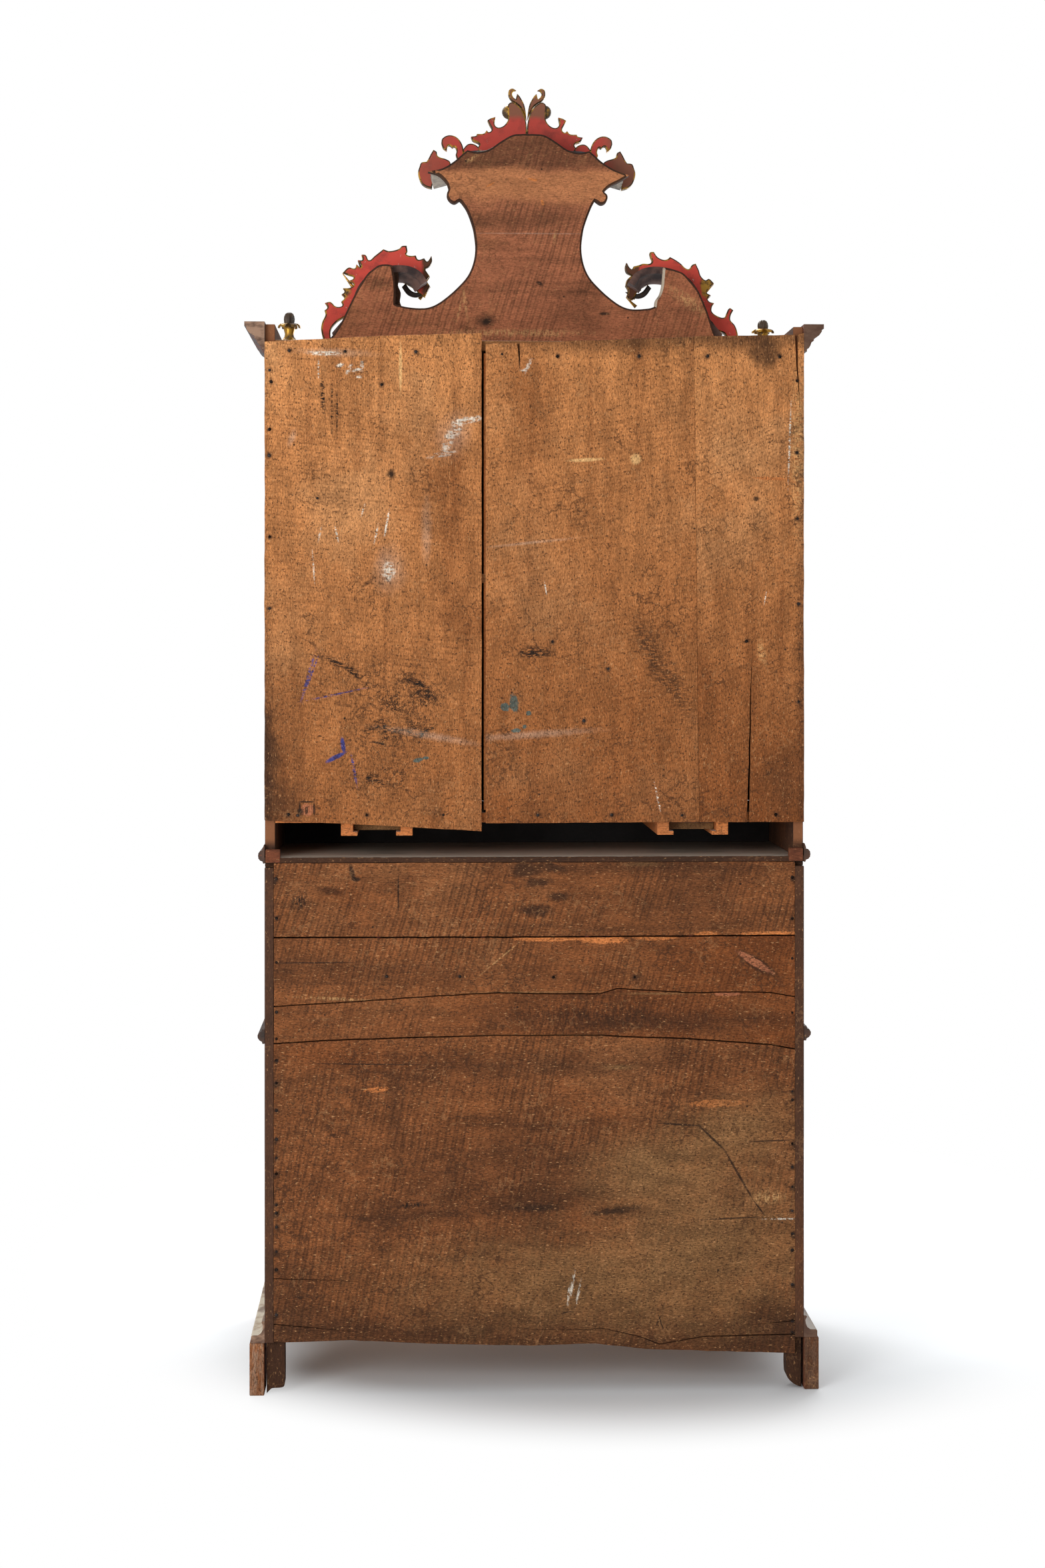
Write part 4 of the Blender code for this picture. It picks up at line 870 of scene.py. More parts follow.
class BuildUpperBack(Operator):
    """Three upright boards behind the upper case, with their cracks, nails and the open joint's batten."""

    bl_idname = "cabinet.upper_back"
    bl_label = "Upper back"

    def execute(self, context):
        tones = pine_tones()
        left = board_finish("left_board", "Z", tones, (0.0, 0.0, 0.0), ((-0.1, 1.0), *UPPER_SAW), LEFT_MARKS,
                            LEFT_NAILS, wood_and_shade_gradient=("Z", 2.2, 1.0, 0.6))
        board("upper_board_left", LEFT_BOARD, left, ["upper_back_board"])
        middle = board_finish("middle_board", "Z", tones, (2.3, 0.6, 1.7), ((0.16, 1.0), *UPPER_SAW),
                              MIDDLE_MARKS, MIDDLE_NAILS, ("Z", 2.125, 2.1), ("Z", 2.5, 0.9, 0.78))
        outline = ((0.0995, 2.0975), *crack(MIDDLE_CRACK, 0.005, 1), (-0.318, 2.114), (-0.3295, 1.1405),
                   (0.0995, 1.139))
        board("upper_board_middle", outline, middle, ["upper_back_panel"])
        right = board_finish("right_board", "Z", tones, (4.1, 1.3, 3.9), ((0.42, 0.9), *UPPER_SAW), RIGHT_MARKS,
                             RIGHT_NAILS, ("Z", 2.13, 2.1), ("Z", 2.2, 1.0, 0.85))
        outline = ((-0.3182, 2.1145), (-0.5206, 2.1185), *crack(TOP_CRACK, 0.006, 1), (-CASE_HALF, 2.122),
                   (-CASE_HALF, 1.14), *crack(FOOT_CRACK, 0.005, -1), (-0.3297, 1.1405))
        board("upper_board_right", outline, right, ["upper_back_panel"])
        nails("upper_nails", LEFT_NAILS + MIDDLE_NAILS + RIGHT_NAILS)
        batten = plain_wood("batten_pine", "Z", (colours().fresh, colours().pine, colours().pine_light))
        piece("joint_batten", formed("joint_batten", add_box, *BATTEN), batten, "case", wear=0.0008)
        return {"FINISHED"}


# Back boards of the bureau

BOARD_TOP = 1.0605
FIRST_FOOT = 0.91
FOURTH_TOP = 0.68
SAWN_GAP = 0.0014
SPLIT_GAP = 0.001
LONG_GAP = 0.0013
SAWN_JOINT = ((LOWER_HALF, 0.9125), (0.0, 0.911), (-LOWER_HALF, 0.9125))
SPLIT = (
    (LOWER_HALF, 0.775), (0.377, 0.783), (0.302, 0.7875), (0.19, 0.795), (0.071, 0.8), (-0.019, 0.798),
    (-0.129, 0.797), (-0.165, 0.8076), (-0.302, 0.798), (-0.42, 0.799), (-0.475, 0.797), (-LOWER_HALF, 0.789),
)
LONG_JOINT = (
    (LOWER_HALF, 0.701), (0.414, 0.707), (0.265, 0.711), (0.067, 0.715), (-0.133, 0.714), (-0.1725, 0.711),
    (-0.302, 0.706), (-0.475, 0.693), (-LOWER_HALF, 0.684),
)
FOOT_EDGE = (
    (LOWER_HALF, 0.108), (0.5, 0.106), (0.366, 0.109), (0.21, 0.1), (0.0045, 0.094), (-0.12, 0.097),
    (-0.22, 0.085), (-0.367, 0.079), (-LOWER_HALF, 0.073),
)
LONG_CRACK = (
    (-LOWER_HALF, 0.111), (-0.343, 0.109), (-0.249, 0.094), (-0.209, 0.11), (-0.136, 0.127), (-0.089, 0.125),
    (0.004, 0.126), (0.085, 0.136), (0.218, 0.142),
)
SHORT_CRACK = ((-LOWER_HALF, 0.139), (-0.41, 0.128))
LEFT_CRACK = ((LOWER_HALF, 0.142), (0.404, 0.131), (0.344, 0.123))
HIGH_CRACK = ((LOWER_HALF, 0.233), (0.41, 0.229), (0.311, 0.223))
ROW_NAILS = ((0.297, 0.834), (0.151, 0.833), (-0.036, 0.831), (-0.199, 0.83))
LEFT_EDGE_HEIGHTS = (
    1.03, 0.951, 0.863, 0.764, 0.711, 0.668, 0.623, 0.568, 0.511, 0.474, 0.442, 0.38, 0.364, 0.336, 0.287,
    0.251, 0.161,
)
RIGHT_EDGE_HEIGHTS = (
    1.029, 0.946, 0.866, 0.757, 0.599, 0.582, 0.494, 0.447, 0.407, 0.359, 0.313, 0.28, 0.211, 0.138, 0.115,
)
EDGE_NAIL_X = 0.5165
EDGE_DENT_X = 0.5215
TOP_MARKS = (
    ("stain", 0.014, 1.046, 0.03, 0.014, 0), ("stain", -0.034, 1.05, 0.026, 0.008, -8),
    ("stain", 0.0, 0.964, 0.032, 0.012, 0), ("stain", -0.048, 0.992, 0.022, 0.008, 0),
    ("stain", -0.004, 1.02, 0.026, 0.008, 5), ("grey", -0.217, 1.056, 0.03, 0.004, 0),
    ("line", 0.366, 1.042, 0.005, 0.016, 15), ("line", 0.358, 1.028, 0.009, 0.004, 0),
    ("scuff", 0.47, 0.985, 0.016, 0.018, 0), ("line", 0.274, 1.0, 0.0018, 0.036, 0),
    ("stain", 0.41, 1.006, 0.024, 0.007, -8), ("warm", 0.4, 0.998, 0.04, 0.018, 0),
    ("fresh", -0.343, 0.9165, 0.022, 0.005, 0), ("fresh", -0.47, 0.916, 0.058, 0.0042, 0),
    ("dirt", -0.2, 1.05, 0.3, 0.01, 0),
)
SECOND_MARKS = (
    ("fresh", -0.02, 0.9075, 0.06, 0.0055, 0), ("fresh", -0.08, 0.9085, 0.06, 0.004, 0),
    ("fresh", -0.135, 0.906, 0.045, 0.0085, 0), ("fresh", -0.24, 0.9085, 0.045, 0.0045, 0),
    # The soot line under the chip is painted shadow along the chip's lower edge
    ("line", -0.442, 0.8575, 0.044, 0.0115, -32), ("chip", -0.44, 0.859, 0.04, 0.0075, -32),
    ("grey", 0.005, 0.801, 0.13, 0.0014, 0), ("rubbed", 0.4, 0.79, 0.06, 0.0026, -3),
    ("line", 0.45, 0.862, 0.08, 0.0012, 0), ("rubbed", 0.072, 0.868, 0.0012, 0.045, -50),
)
THIRD_MARKS = (
    ("chip", -0.388, 0.795, 0.026, 0.0036, 0), ("dirt", -0.25, 0.74, 0.25, 0.016, 0),
    ("grey", -0.25, 0.797, 0.06, 0.002, 0), ("smear", -0.15, 0.755, 0.2, 0.03, 0),
)
LOW_MARKS = (
    ("warm", 0.37, 0.674, 0.15, 0.022, -6), ("line", 0.33, 0.659, 0.11, 0.0014, -1),
    ("dirt", -0.05, 0.655, 0.3, 0.022, 0), ("fresh", 0.317, 0.608, 0.026, 0.005, 6),
    ("fresh", -0.367, 0.576, 0.054, 0.0075, 1), ("dirt", 0.281, 0.575, 0.013, 0.095, 3),
    ("scuff", 0.248, 0.377, 0.028, 0.005, 4), ("grey", -0.22, 0.44, 0.12, 0.06, 8),
    ("grey", -0.36, 0.3, 0.17, 0.13, 0), ("dirt", 0.0, 0.42, 0.11, 0.11, 0),
    ("grey", -0.17, 0.65, 0.026, 0.0045, 0), ("grey", -0.4, 0.52, 0.12, 0.06, 12),
    ("grey", -0.1, 0.22, 0.3, 0.08, 0), ("dirt", 0.0, 0.385, 0.12, 0.012, 3),
    ("dirt", -0.18, 0.364, 0.04, 0.007, 0), ("stain", -0.156, 0.362, 0.05, 0.006, 6),
    ("stain", 0.0, 0.37, 0.05, 0.008, 0), ("stain", 0.404, 0.518, 0.008, 0.003, 0),
    ("line", -0.29, 0.534, 0.042, 0.002, -4), ("line", -0.354, 0.507, 0.037, 0.0022, -44),
    ("line", -0.475, 0.5, 0.046, 0.0014, 2), ("line", -0.395, 0.345, 0.06, 0.0014, 2),
    ("chalk", -0.073, 0.212, 0.0026, 0.03, -10), ("chalk", -0.086, 0.198, 0.0022, 0.024, -12),
    ("chalk", -0.066, 0.196, 0.0018, 0.018, -6), ("chalk", -0.492, 0.343, 0.036, 0.0016, 0),
    ("line", -0.409, 0.431, 0.0022, 0.062, 30), ("line", -0.449, 0.366, 0.0018, 0.018, 37),
    ("rubbed", -0.466, 0.386, 0.024, 0.01, 0), ("line", -0.252, 0.137, 0.0012, 0.017, 20),
    ("line", -0.246, 0.14, 0.0012, 0.012, -25), ("line", -0.062, 0.16, 0.01, 0.0012, 12),
    ("dirt", 0.48, 0.2, 0.06, 0.06, 0), ("dirt", -0.49, 0.14, 0.05, 0.04, 0),
    ("stain", 0.47, 0.196, 0.006, 0.004, 0),
)


def dent_shade_marks(top, foot):
    """Dents beside every second nail between two heights, on both edges, painted dark as the shade in them."""
    return [("stain", side * EDGE_DENT_X, up - 0.004, 0.009, 0.006, 0)
            for side, heights in ((1, LEFT_EDGE_HEIGHTS[::2]), (-1, RIGHT_EDGE_HEIGHTS[::2]))
            for up in heights if foot < up < top]


def edge_nails():
    """Nails down both edges of the bureau's back."""
    left = [(EDGE_NAIL_X, up) for up in LEFT_EDGE_HEIGHTS]
    return left + [(-EDGE_NAIL_X, up) for up in RIGHT_EDGE_HEIGHTS]


def lifted(line, rise):
    """A line moved up by a rise."""
    return [(across, up + rise) for across, up in line]


class BuildLowerBack(Operator):
    """Four level boards behind the bureau, split and nailed."""

    bl_idname = "cabinet.lower_back"
    bl_label = "Bureau back"

    def execute(self, context):
        tones = low_tones()
        edges = edge_nails()
        top = board_finish("first_board", "X", tones, (0.2, 0.1, 0.5), ((1.0, 0.3), 0.007, 0.62),
                           [*TOP_MARKS, *dent_shade_marks(BOARD_TOP, FIRST_FOOT)],
                           [nail for nail in edges if nail[1] > FIRST_FOOT])
        outline = ((LOWER_HALF, BOARD_TOP), (-LOWER_HALF, BOARD_TOP), *lifted(SAWN_JOINT, SAWN_GAP)[::-1])
        board("bureau_board_first", outline, top, ["bureau_back_board_upper"])
        second = board_finish("second_board", "X", tones, (3.1, 0.7, 2.6), ((1.0, 0.26), 0.0066, 0.6),
                              SECOND_MARKS, ROW_NAILS, wood_and_shade_gradient=("X", 0.1, -0.5, 0.5))
        outline = (*lifted(SAWN_JOINT, -SAWN_GAP), *lifted(SPLIT, SPLIT_GAP)[::-1])
        board("bureau_board_second", outline, second, ["bureau_back_board_middle"])
        third = board_finish("third_board", "X", tones, (5.7, 1.9, 0.8), ((1.0, 0.26), 0.0066, 0.6),
                             THIRD_MARKS, wood_and_shade_gradient=("X", 0.5, -0.5, 0.42))
        outline = (*lifted(SPLIT, -SPLIT_GAP), *lifted(LONG_JOINT, LONG_GAP)[::-1])
        board("bureau_board_third", outline, third, ["bureau_back_board_middle"])
        low = board_finish("fourth_board", "X", tones, (7.4, 2.8, 4.3), ((1.0, 0.2), 0.0072, 0.56),
                           [*LOW_MARKS, *dent_shade_marks(FOURTH_TOP, 0.0)],
                           [nail for nail in edges if nail[1] < FOURTH_TOP], ("Z", 0.08, 0.17), rough=1.4)
        outline = (*lifted(LONG_JOINT, -LONG_GAP), *crack(SHORT_CRACK, 0.0022, 1, level=True),
                   *crack(LONG_CRACK, 0.0026, 1, level=True), *FOOT_EDGE[::-1],
                   *crack(LEFT_CRACK, 0.0022, -1, level=True), *crack(HIGH_CRACK, 0.002, -1, level=True))
        board("bureau_board_fourth", outline, low, ["bureau_back_board_lower"])
        nails("bureau_nails", (*edges, *ROW_NAILS))
        return {"FINISHED"}


# Crest

CREST_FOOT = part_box("crest_board")[0].z - CORNICE_TOP
HUMP_EDGE_RIGHT = (
    (0.424, 0.004, SHARP), (0.411, 0.02), (0.396, 0.045), (0.381, 0.077), (0.365, 0.109), (0.353, 0.129),
    (0.342, 0.145), (0.33, 0.155), (0.318, 0.163), (0.302, 0.165), (0.29, 0.163, SHARP), (0.286, 0.141),
    (0.283, 0.113), (0.284, 0.08, SHARP),
)
HUMP_EDGE_LEFT = (
    (0.405, 0.006, SHARP), (0.397, 0.025), (0.384, 0.065), (0.371, 0.097), (0.363, 0.113), (0.347, 0.133),
    (0.332, 0.149), (0.316, 0.156), (0.299, 0.16), (0.289, 0.162, SHARP), (0.287, 0.14), (0.285, 0.12),
    (0.28, 0.104), (0.272, 0.092), (0.27, 0.078, SHARP),
)
NECK = (
    (0.258, 0.074), (0.222, 0.072), (0.2, 0.078), (0.177, 0.093), (0.152, 0.115), (0.13, 0.14), (0.118, 0.167),
    (0.113, 0.2), (0.116, 0.232), (0.12, 0.25),
)
LUG_RIGHT = (
    (0.131, 0.28), (0.142, 0.297), (0.147, 0.302, SHARP), (0.158, 0.296), (0.169, 0.302), (0.174, 0.313),
    (0.17, 0.326, SHARP), (0.175, 0.34), (0.193, 0.357), (0.214, 0.363, SHARP),
)
LUG_LEFT = (
    (0.134, 0.288), (0.142, 0.304, SHARP), (0.155, 0.296), (0.166, 0.301), (0.169, 0.314),
    (0.161, 0.323, SHARP), (0.173, 0.334), (0.196, 0.346), (0.215, 0.358, SHARP),
)
CREST_TOP = (
    (0.183, 0.37), (0.157, 0.386), (0.138, 0.403), (0.13, 0.409, SHARP), (0.109, 0.405), (0.084, 0.411),
    (0.059, 0.428), (0.033, 0.4425), (0.012, 0.4445),
)
SWAN_PATH = (
    (0.41, 0.0143), (0.373, 0.062), (0.355, 0.112), (0.333, 0.138), (0.3, 0.153), (0.262, 0.155),
    (0.238, 0.145), (0.225, 0.127),
)
CAP_PATH = ((0.205, 0.352), (0.172, 0.362), (0.147, 0.376), (0.126, 0.399), (0.084, 0.404), (0.036, 0.429))
SWAN_SECTION = (
    (0.011, -0.0372), (-0.004, -0.0372), (-0.007, -0.05), (-0.014, -0.062), (-0.02, -0.074), (-0.02, -0.0865),
    (0.006, -0.0865), (0.011, -0.08),
)
CAP_SECTION = (
    (0.011, -0.0372), (-0.003, -0.0372), (-0.006, -0.05), (-0.011, -0.062), (-0.014, -0.074), (-0.014, -0.0865),
    (0.006, -0.0865), (0.011, -0.08),
)
SAWN_EDGE = 0.0042
HUMP_BLOCK_DEPTH = 0.022
HUMP_BLOCK = (
    (0.291, 0.162, SHARP), (0.28, 0.158), (0.276, 0.14), (0.278, 0.124), (0.272, 0.108), (0.274, 0.09),
    (0.27, 0.078, SHARP), (0.291, 0.078, SHARP),
)
CREST_MARKS = (
    ("line", 0.089, 2.184, 0.01, 0.006, 20), ("stain", 0.089, 2.184, 0.022, 0.014, 0),
    ("line", -0.024, 2.266, 0.007, 0.004, -30), ("line", -0.162, 2.202, 0.012, 0.003, 0),
    ("rubbed", 0.135, 2.225, 0.003, 0.026, 8), ("rubbed", 0.146, 2.212, 0.002, 0.02, -14),
    ("fresh", -0.01, 2.487, 0.01, 0.003, -10), ("fresh", -0.03, 2.438, 0.003, 0.007, 12),
    ("fresh", 0.082, 2.475, 0.01, 0.002, 30), ("haze", -0.003, 2.372, 0.11, 0.0012, 0),
    ("rubbed", -0.056, 2.364, 0.003, 0.01, -8), ("dirt", 0.02, 2.4, 0.12, 0.02, 4),
    ("dirt", 0.32, 2.265, 0.018, 0.01, 0), ("rubbed", 0.12, 2.53, 0.012, 0.004, 30),
    ("rubbed", -0.34, 2.23, 0.04, 0.01, -35), ("rubbed", 0.03, 2.16, 0.12, 0.006, 0),
)


def above_cornice(line, side=1):
    """A line of (out, height above the cornice) placed on one side of the cabinet."""
    return [(side * point[0], CORNICE_TOP + point[1]) for point in line]


def crest_outline():
    """Both halves of the sawn crest board, foot to foot."""
    halves = []
    for side, hump, lug in ((1, HUMP_EDGE_RIGHT, LUG_RIGHT), (-1, HUMP_EDGE_LEFT, LUG_LEFT)):
        line = trace(hump + NECK + lug + CREST_TOP, closed=False, steps=4)
        halves.append(above_cornice([(hump[0][0], CREST_FOOT), *line], side))
    return halves[0] + halves[1][::-1]


def crest_finish():
    """Reddish board, lighter in a band near the top, with sawn edges darkened partly as dark paint and partly as
    painted shade, one pale edge and a lacquered face.
    """
    tint = colours()
    shift = (2.2, 0.4, 8.1)
    finish = Finish("crest_wood", CREST_BACK)
    tone = wood_figure(finish, "X", (tint.crest, tint.low_dark, tint.low_light), shift, ((1.0, 0.32), 0.007, 0.46))
    stray = finish.grit((5, 5, 9), 5, 0.6)
    up = finish.math("MULTIPLY_ADD", stray, 0.05, finish.axis("Z"))
    band = finish.math("MULTIPLY", finish.ramp(up, 2.452, 2.486), finish.ramp(up, 2.546, 2.526))
    tone = finish.mix(finish.math("MULTIPLY", band, 0.85), tone, tint.crest_band)
    tone = finish.mix(finish.ramp(up, 2.528, 2.552, 0.0, 0.6), tone, tint.low_dark)
    tone, height = gritty(finish, "X", add_marks(finish, tone, "X", CREST_MARKS), shift, 0.8)
    tone = worm_holes(finish, tone)
    # Sawn edges turned away from the back go dark: partly dark paint, partly painted shade on the board's thickness
    edge = finish.ramp(finish.facing((0, 1, 0)), 0.8, 0.97, 0.9, 0.0)
    turned = finish.ramp(finish.facing((1, 0, 0)), 0.3, 0.6)
    pale = finish.math("MULTIPLY", turned, finish.ramp(finish.axis("X"), -0.262, -0.268))
    tone = finish.mix(edge, tone, finish.mix(pale, tint.soot, tint.stone))
    face = finish.ramp(finish.axis("Y"), CREST_FRONT + 0.004, CREST_FRONT + 0.002)
    tone = finish.mix(face, tone, tint.lacquer)
    return finish.finish(tone, 0.8, height, 0.0012, shine=0.2)


def sweep(name, path, section):
    """A moulding of a section (out, depth) carried along a path (across, up)."""
    rings = []
    for i, point in enumerate(path):
        aim = (path[min(i + 1, len(path) - 1)] - path[max(i - 1, 0)]).normalized()
        out = Vector((-aim.y, aim.x))
        rings.append([(point.x + out.x * n, y, point.y + out.y * n) for n, y in section])
    return formed(name, add_loft, rings)


class BuildCrest(Operator):
    """Sawn crest board with the swan-neck and cap mouldings on its face."""

    bl_idname = "cabinet.crest"
    bl_label = "Crest"

    def execute(self, context):
        tint = colours()
        mesh = formed("crest", add_rimmed, worn_line(crest_outline(), 0.02), CREST_FRONT, CREST_BACK, SAWN_EDGE)
        piece("crest_sawn_board", mesh, crest_finish(), "case", ["crest_board"], smooth=False)
        block = formed("hump_block", add_slab, above_cornice(trace(HUMP_BLOCK, steps=3)),
                       CREST_FRONT - HUMP_BLOCK_DEPTH, CREST_FRONT - SEAM)
        dark = plain_wood("block_wood", "Z", (tint.low_dark, tint.soot, tint.edge_brown))
        piece("hump_block", block, dark, "case", wear=0.002, smooth=False)
        plum = painted_finish("swan_paint", tint.soffit, tint.lacquer_dark, tint.stone, 0.68)
        for name, side in SIDES.items():
            path = [Vector(point) for point in above_cornice(trace(SWAN_PATH, False, 6), side)]
            section = [(n * -side, y) for n, y in SWAN_SECTION]
            mesh = sweep("swan_" + name, path, section)
            piece("swan_neck_" + name, mesh, plum, "case", ["crest_swan_moulding_" + name])
        half = trace(CAP_PATH + ((-0.036, 0.429),), False, 6)
        right = [Vector(point) for point in above_cornice(half)]
        left = [Vector(point) for point in above_cornice(half[:-6], -1)][::-1]
        mesh = sweep("cap", right[:-6] + left, [(-n, y) for n, y in CAP_SECTION])
        slate = painted_finish("cap_paint", tint.slate, tint.dust, tint.stone, 0.66)
        piece("crest_cap", mesh, slate, "case", ["crest_cap_moulding"])
        return {"FINISHED"}


# Carved leaves

GILT_TIP = (0.392, 0.134)
GILT_TIP_REACH = (0.015, 0.026)
HUMP_MIDDLE = (0.3, 0.03)
HUMP_INNER = ((0.245, 0.126), (0.285, 0.143), (0.325, 0.128), (0.352, 0.096), (0.372, 0.072))
FOOT_LOOP_RIGHT = ((0.395, 0.061), (0.411, 0.051), (0.4235, 0.033), (0.4205, 0.002, SHARP))
FOOT_LOOP_LEFT = ((0.398, 0.056), (0.412, 0.038), (0.43, 0.029), (0.438, 0.002, SHARP))
HUMP_LEFT = (
    (0.46, 0.002, SHARP), (0.459, 0.028), (0.453, 0.048), (0.443, 0.06), (0.443, 0.07), (0.449, 0.082, SHARP),
    (0.441, 0.086), (0.435, 0.076), (0.43, 0.066), (0.418, 0.067), (0.403, 0.077), (0.402, 0.088),
    (0.407, 0.097, SHARP), (0.397, 0.1), (0.393, 0.107), (0.4, 0.114, SHARP), (0.391, 0.121),
    (0.407, 0.14, SHARP), (0.396, 0.15), (0.388, 0.147), (0.378, 0.156), (0.374, 0.168, SHARP),
    (0.367, 0.183, SHARP), (0.359, 0.18), (0.352, 0.171), (0.343, 0.174), (0.335, 0.182), (0.324, 0.19),
    (0.311, 0.197, SHARP), (0.305, 0.192), (0.296, 0.191), (0.283, 0.197), (0.275, 0.208, SHARP),
    (0.267, 0.206), (0.268, 0.196), (0.271, 0.187), (0.266, 0.182), (0.252, 0.182), (0.244, 0.179),
    (0.232, 0.176, SHARP), (0.227, 0.17), (0.22, 0.176), (0.216, 0.184, SHARP), (0.213, 0.174), (0.216, 0.162),
    (0.227, 0.156, SHARP), (0.217, 0.146), (0.214, 0.134, SHARP), (0.219, 0.122), (0.216, 0.11, SHARP),
    (0.222, 0.104), (0.229, 0.103, SHARP), (0.235, 0.114),
)
HUMP_RIGHT = (
    (0.436, 0.002, SHARP), (0.444, 0.033), (0.442, 0.051), (0.435, 0.067), (0.437, 0.077, SHARP),
    (0.431, 0.083), (0.436, 0.093, SHARP), (0.425, 0.095), (0.413, 0.085), (0.399, 0.087),
    (0.401, 0.096, SHARP), (0.394, 0.104), (0.4, 0.112, SHARP), (0.394, 0.117), (0.397, 0.125, SHARP),
    (0.383, 0.126), (0.374, 0.133), (0.385, 0.141, SHARP), (0.374, 0.148), (0.385, 0.153),
    (0.398, 0.158, SHARP), (0.385, 0.17), (0.372, 0.168), (0.368, 0.177, SHARP), (0.358, 0.171),
    (0.365, 0.186, SHARP), (0.355, 0.187), (0.357, 0.198, SHARP), (0.348, 0.197), (0.341, 0.186),
    (0.329, 0.195), (0.31, 0.21, SHARP), (0.297, 0.206), (0.276, 0.211), (0.27, 0.217), (0.26, 0.218, SHARP),
    (0.258, 0.205), (0.26, 0.199), (0.251, 0.196), (0.24, 0.197, SHARP), (0.235, 0.188), (0.222, 0.191, SHARP),
    (0.215, 0.184), (0.206, 0.196, SHARP), (0.205, 0.184), (0.211, 0.173), (0.221, 0.168, SHARP),
    (0.21, 0.152, SHARP), (0.216, 0.143), (0.209, 0.13, SHARP), (0.215, 0.118), (0.22, 0.106, SHARP),
    (0.232, 0.114),
)
TENDRIL = (
    (0.27, 0.128, SHARP), (0.258, 0.112), (0.242, 0.106), (0.227, 0.11), (0.214, 0.12, SHARP), (0.226, 0.119),
    (0.24, 0.116), (0.252, 0.122), (0.262, 0.136, SHARP),
)
SCROLL = (
    (0.0006, 0.44, SHARP), (0.0006, 0.476), (0.003, 0.491), (0.009, 0.508), (0.017, 0.519), (0.026, 0.526),
    (0.034, 0.528), (0.041, 0.522), (0.041, 0.506), (0.041, 0.49), (0.047, 0.48), (0.056, 0.474),
    (0.065, 0.474), (0.07, 0.481), (0.068, 0.496, SHARP), (0.078, 0.493), (0.085, 0.489, SHARP), (0.081, 0.48),
    (0.076, 0.469), (0.082, 0.463), (0.087, 0.467, SHARP), (0.093, 0.46), (0.108, 0.459, SHARP), (0.11, 0.455),
    (0.121, 0.453, SHARP), (0.117, 0.445), (0.103, 0.437), (0.108, 0.428, SHARP), (0.086, 0.402, SHARP),
    (0.036, 0.422),
)
SPRIG = (
    (0.0006, 0.49, SHARP), (0.013, 0.517), (0.024, 0.527), (0.033, 0.532), (0.039, 0.541), (0.04, 0.549),
    (0.038, 0.556), (0.031, 0.559), (0.023, 0.555, SHARP), (0.029, 0.553), (0.032, 0.547), (0.029, 0.54),
    (0.024, 0.536, SHARP), (0.021, 0.548, SHARP), (0.016, 0.543), (0.011, 0.535), (0.006, 0.525),
    (0.003, 0.512),
)
EAR_CURL = (
    (0.138, 0.402, SHARP), (0.137, 0.424), (0.141, 0.438), (0.149, 0.449), (0.16, 0.455), (0.172, 0.455),
    (0.183, 0.448), (0.185, 0.439, SHARP), (0.181, 0.428), (0.173, 0.422, SHARP), (0.172, 0.43), (0.168, 0.434),
    (0.161, 0.429, SHARP), (0.156, 0.431), (0.152, 0.422), (0.154, 0.414, SHARP), (0.15, 0.4),
    (0.15, 0.38, SHARP),
)
EAR_CAP = (
    (0.164, 0.382, SHARP), (0.166, 0.398), (0.175, 0.404), (0.192, 0.41), (0.195, 0.42, SHARP),
    (0.202, 0.424, SHARP), (0.208, 0.414), (0.213, 0.404), (0.217, 0.398, SHARP), (0.228, 0.396),
    (0.232, 0.387), (0.235, 0.376), (0.233, 0.364), (0.227, 0.351), (0.217, 0.344), (0.205, 0.341, SHARP),
    (0.203, 0.35), (0.19, 0.356),
)
HOLLOW_LEAF = (
    (0.1, 0.424, SHARP), (0.109, 0.434), (0.121, 0.438), (0.13, 0.435), (0.139, 0.424, SHARP),
    (0.13, 0.405, SHARP),
)
BALL_PLACE = (0.038, 0.51)
BALL_RADIUS = 0.0155
BALL_SUNK = 0.003
LEAF_SPLIT = 0.6
TOP_VEINS = (((0.03, 0.45), (0.03, 0.52)), ((0.05, 0.445), (0.11, 0.455)), ((0.19, 0.375), (0.202, 0.42)))
HUMP_TRIM = {"left": (HUMP_LEFT, FOOT_LOOP_LEFT, 0.244), "right": (HUMP_RIGHT, FOOT_LOOP_RIGHT, 0.226)}


def towards(line, middle, share):
    """A line drawn in towards a middle point by a share of each point's distance."""
    return [Vector(middle) + (Vector(point[:2]) - Vector(middle)) * share for point in line]


def add_vein(bm, start, end, side, radius):
    """A raised rib on the front of a leaf from a thick start to a fine end."""
    steps = 6
    path, radii = [], []
    for step in range(steps + 1):
        t = step / steps
        spot = Vector(start).lerp(Vector(end), t)
        path.append((side * spot.x, LEAF_FRONT + 0.0012, CORNICE_TOP + spot.y))
        radii.append(radius * (1.0 - 0.8 * t))
    add_tube(bm, path, radii)


def leaf_piece(name, outlines, side, finish, replaces, veins=(), front=LEAF_FRONT, back=LEAF_BACK):
    """Carved leaves sawn from one thickness, with ribs on their fronts."""
    bm = bmesh.new()
    for outline in outlines:
        add_rimmed(bm, above_cornice(trace(outline, steps=4), side), front, back, sizes().leaf_edge)
    rim = piece(name, mesh_of(bm, name), finish, "case", replaces, smooth=False)
    if veins:
        bm = bmesh.new()
        for start, end in veins:
            add_vein(bm, start, end, side, 0.0042)
        piece(name + "_ribs", mesh_of(bm, name + "_ribs"), finish, "case")
    return rim


def hump_veins(outline):
    """Ribs from the hump's spine towards each tip of its leaves."""
    tips = [Vector(point[:2]) for point in outline if len(point) > 2][2:-1]
    roots = [Vector(HUMP_MIDDLE) + (tip - Vector(HUMP_MIDDLE)) * 0.74 for tip in tips]
    return list(zip(roots, tips))


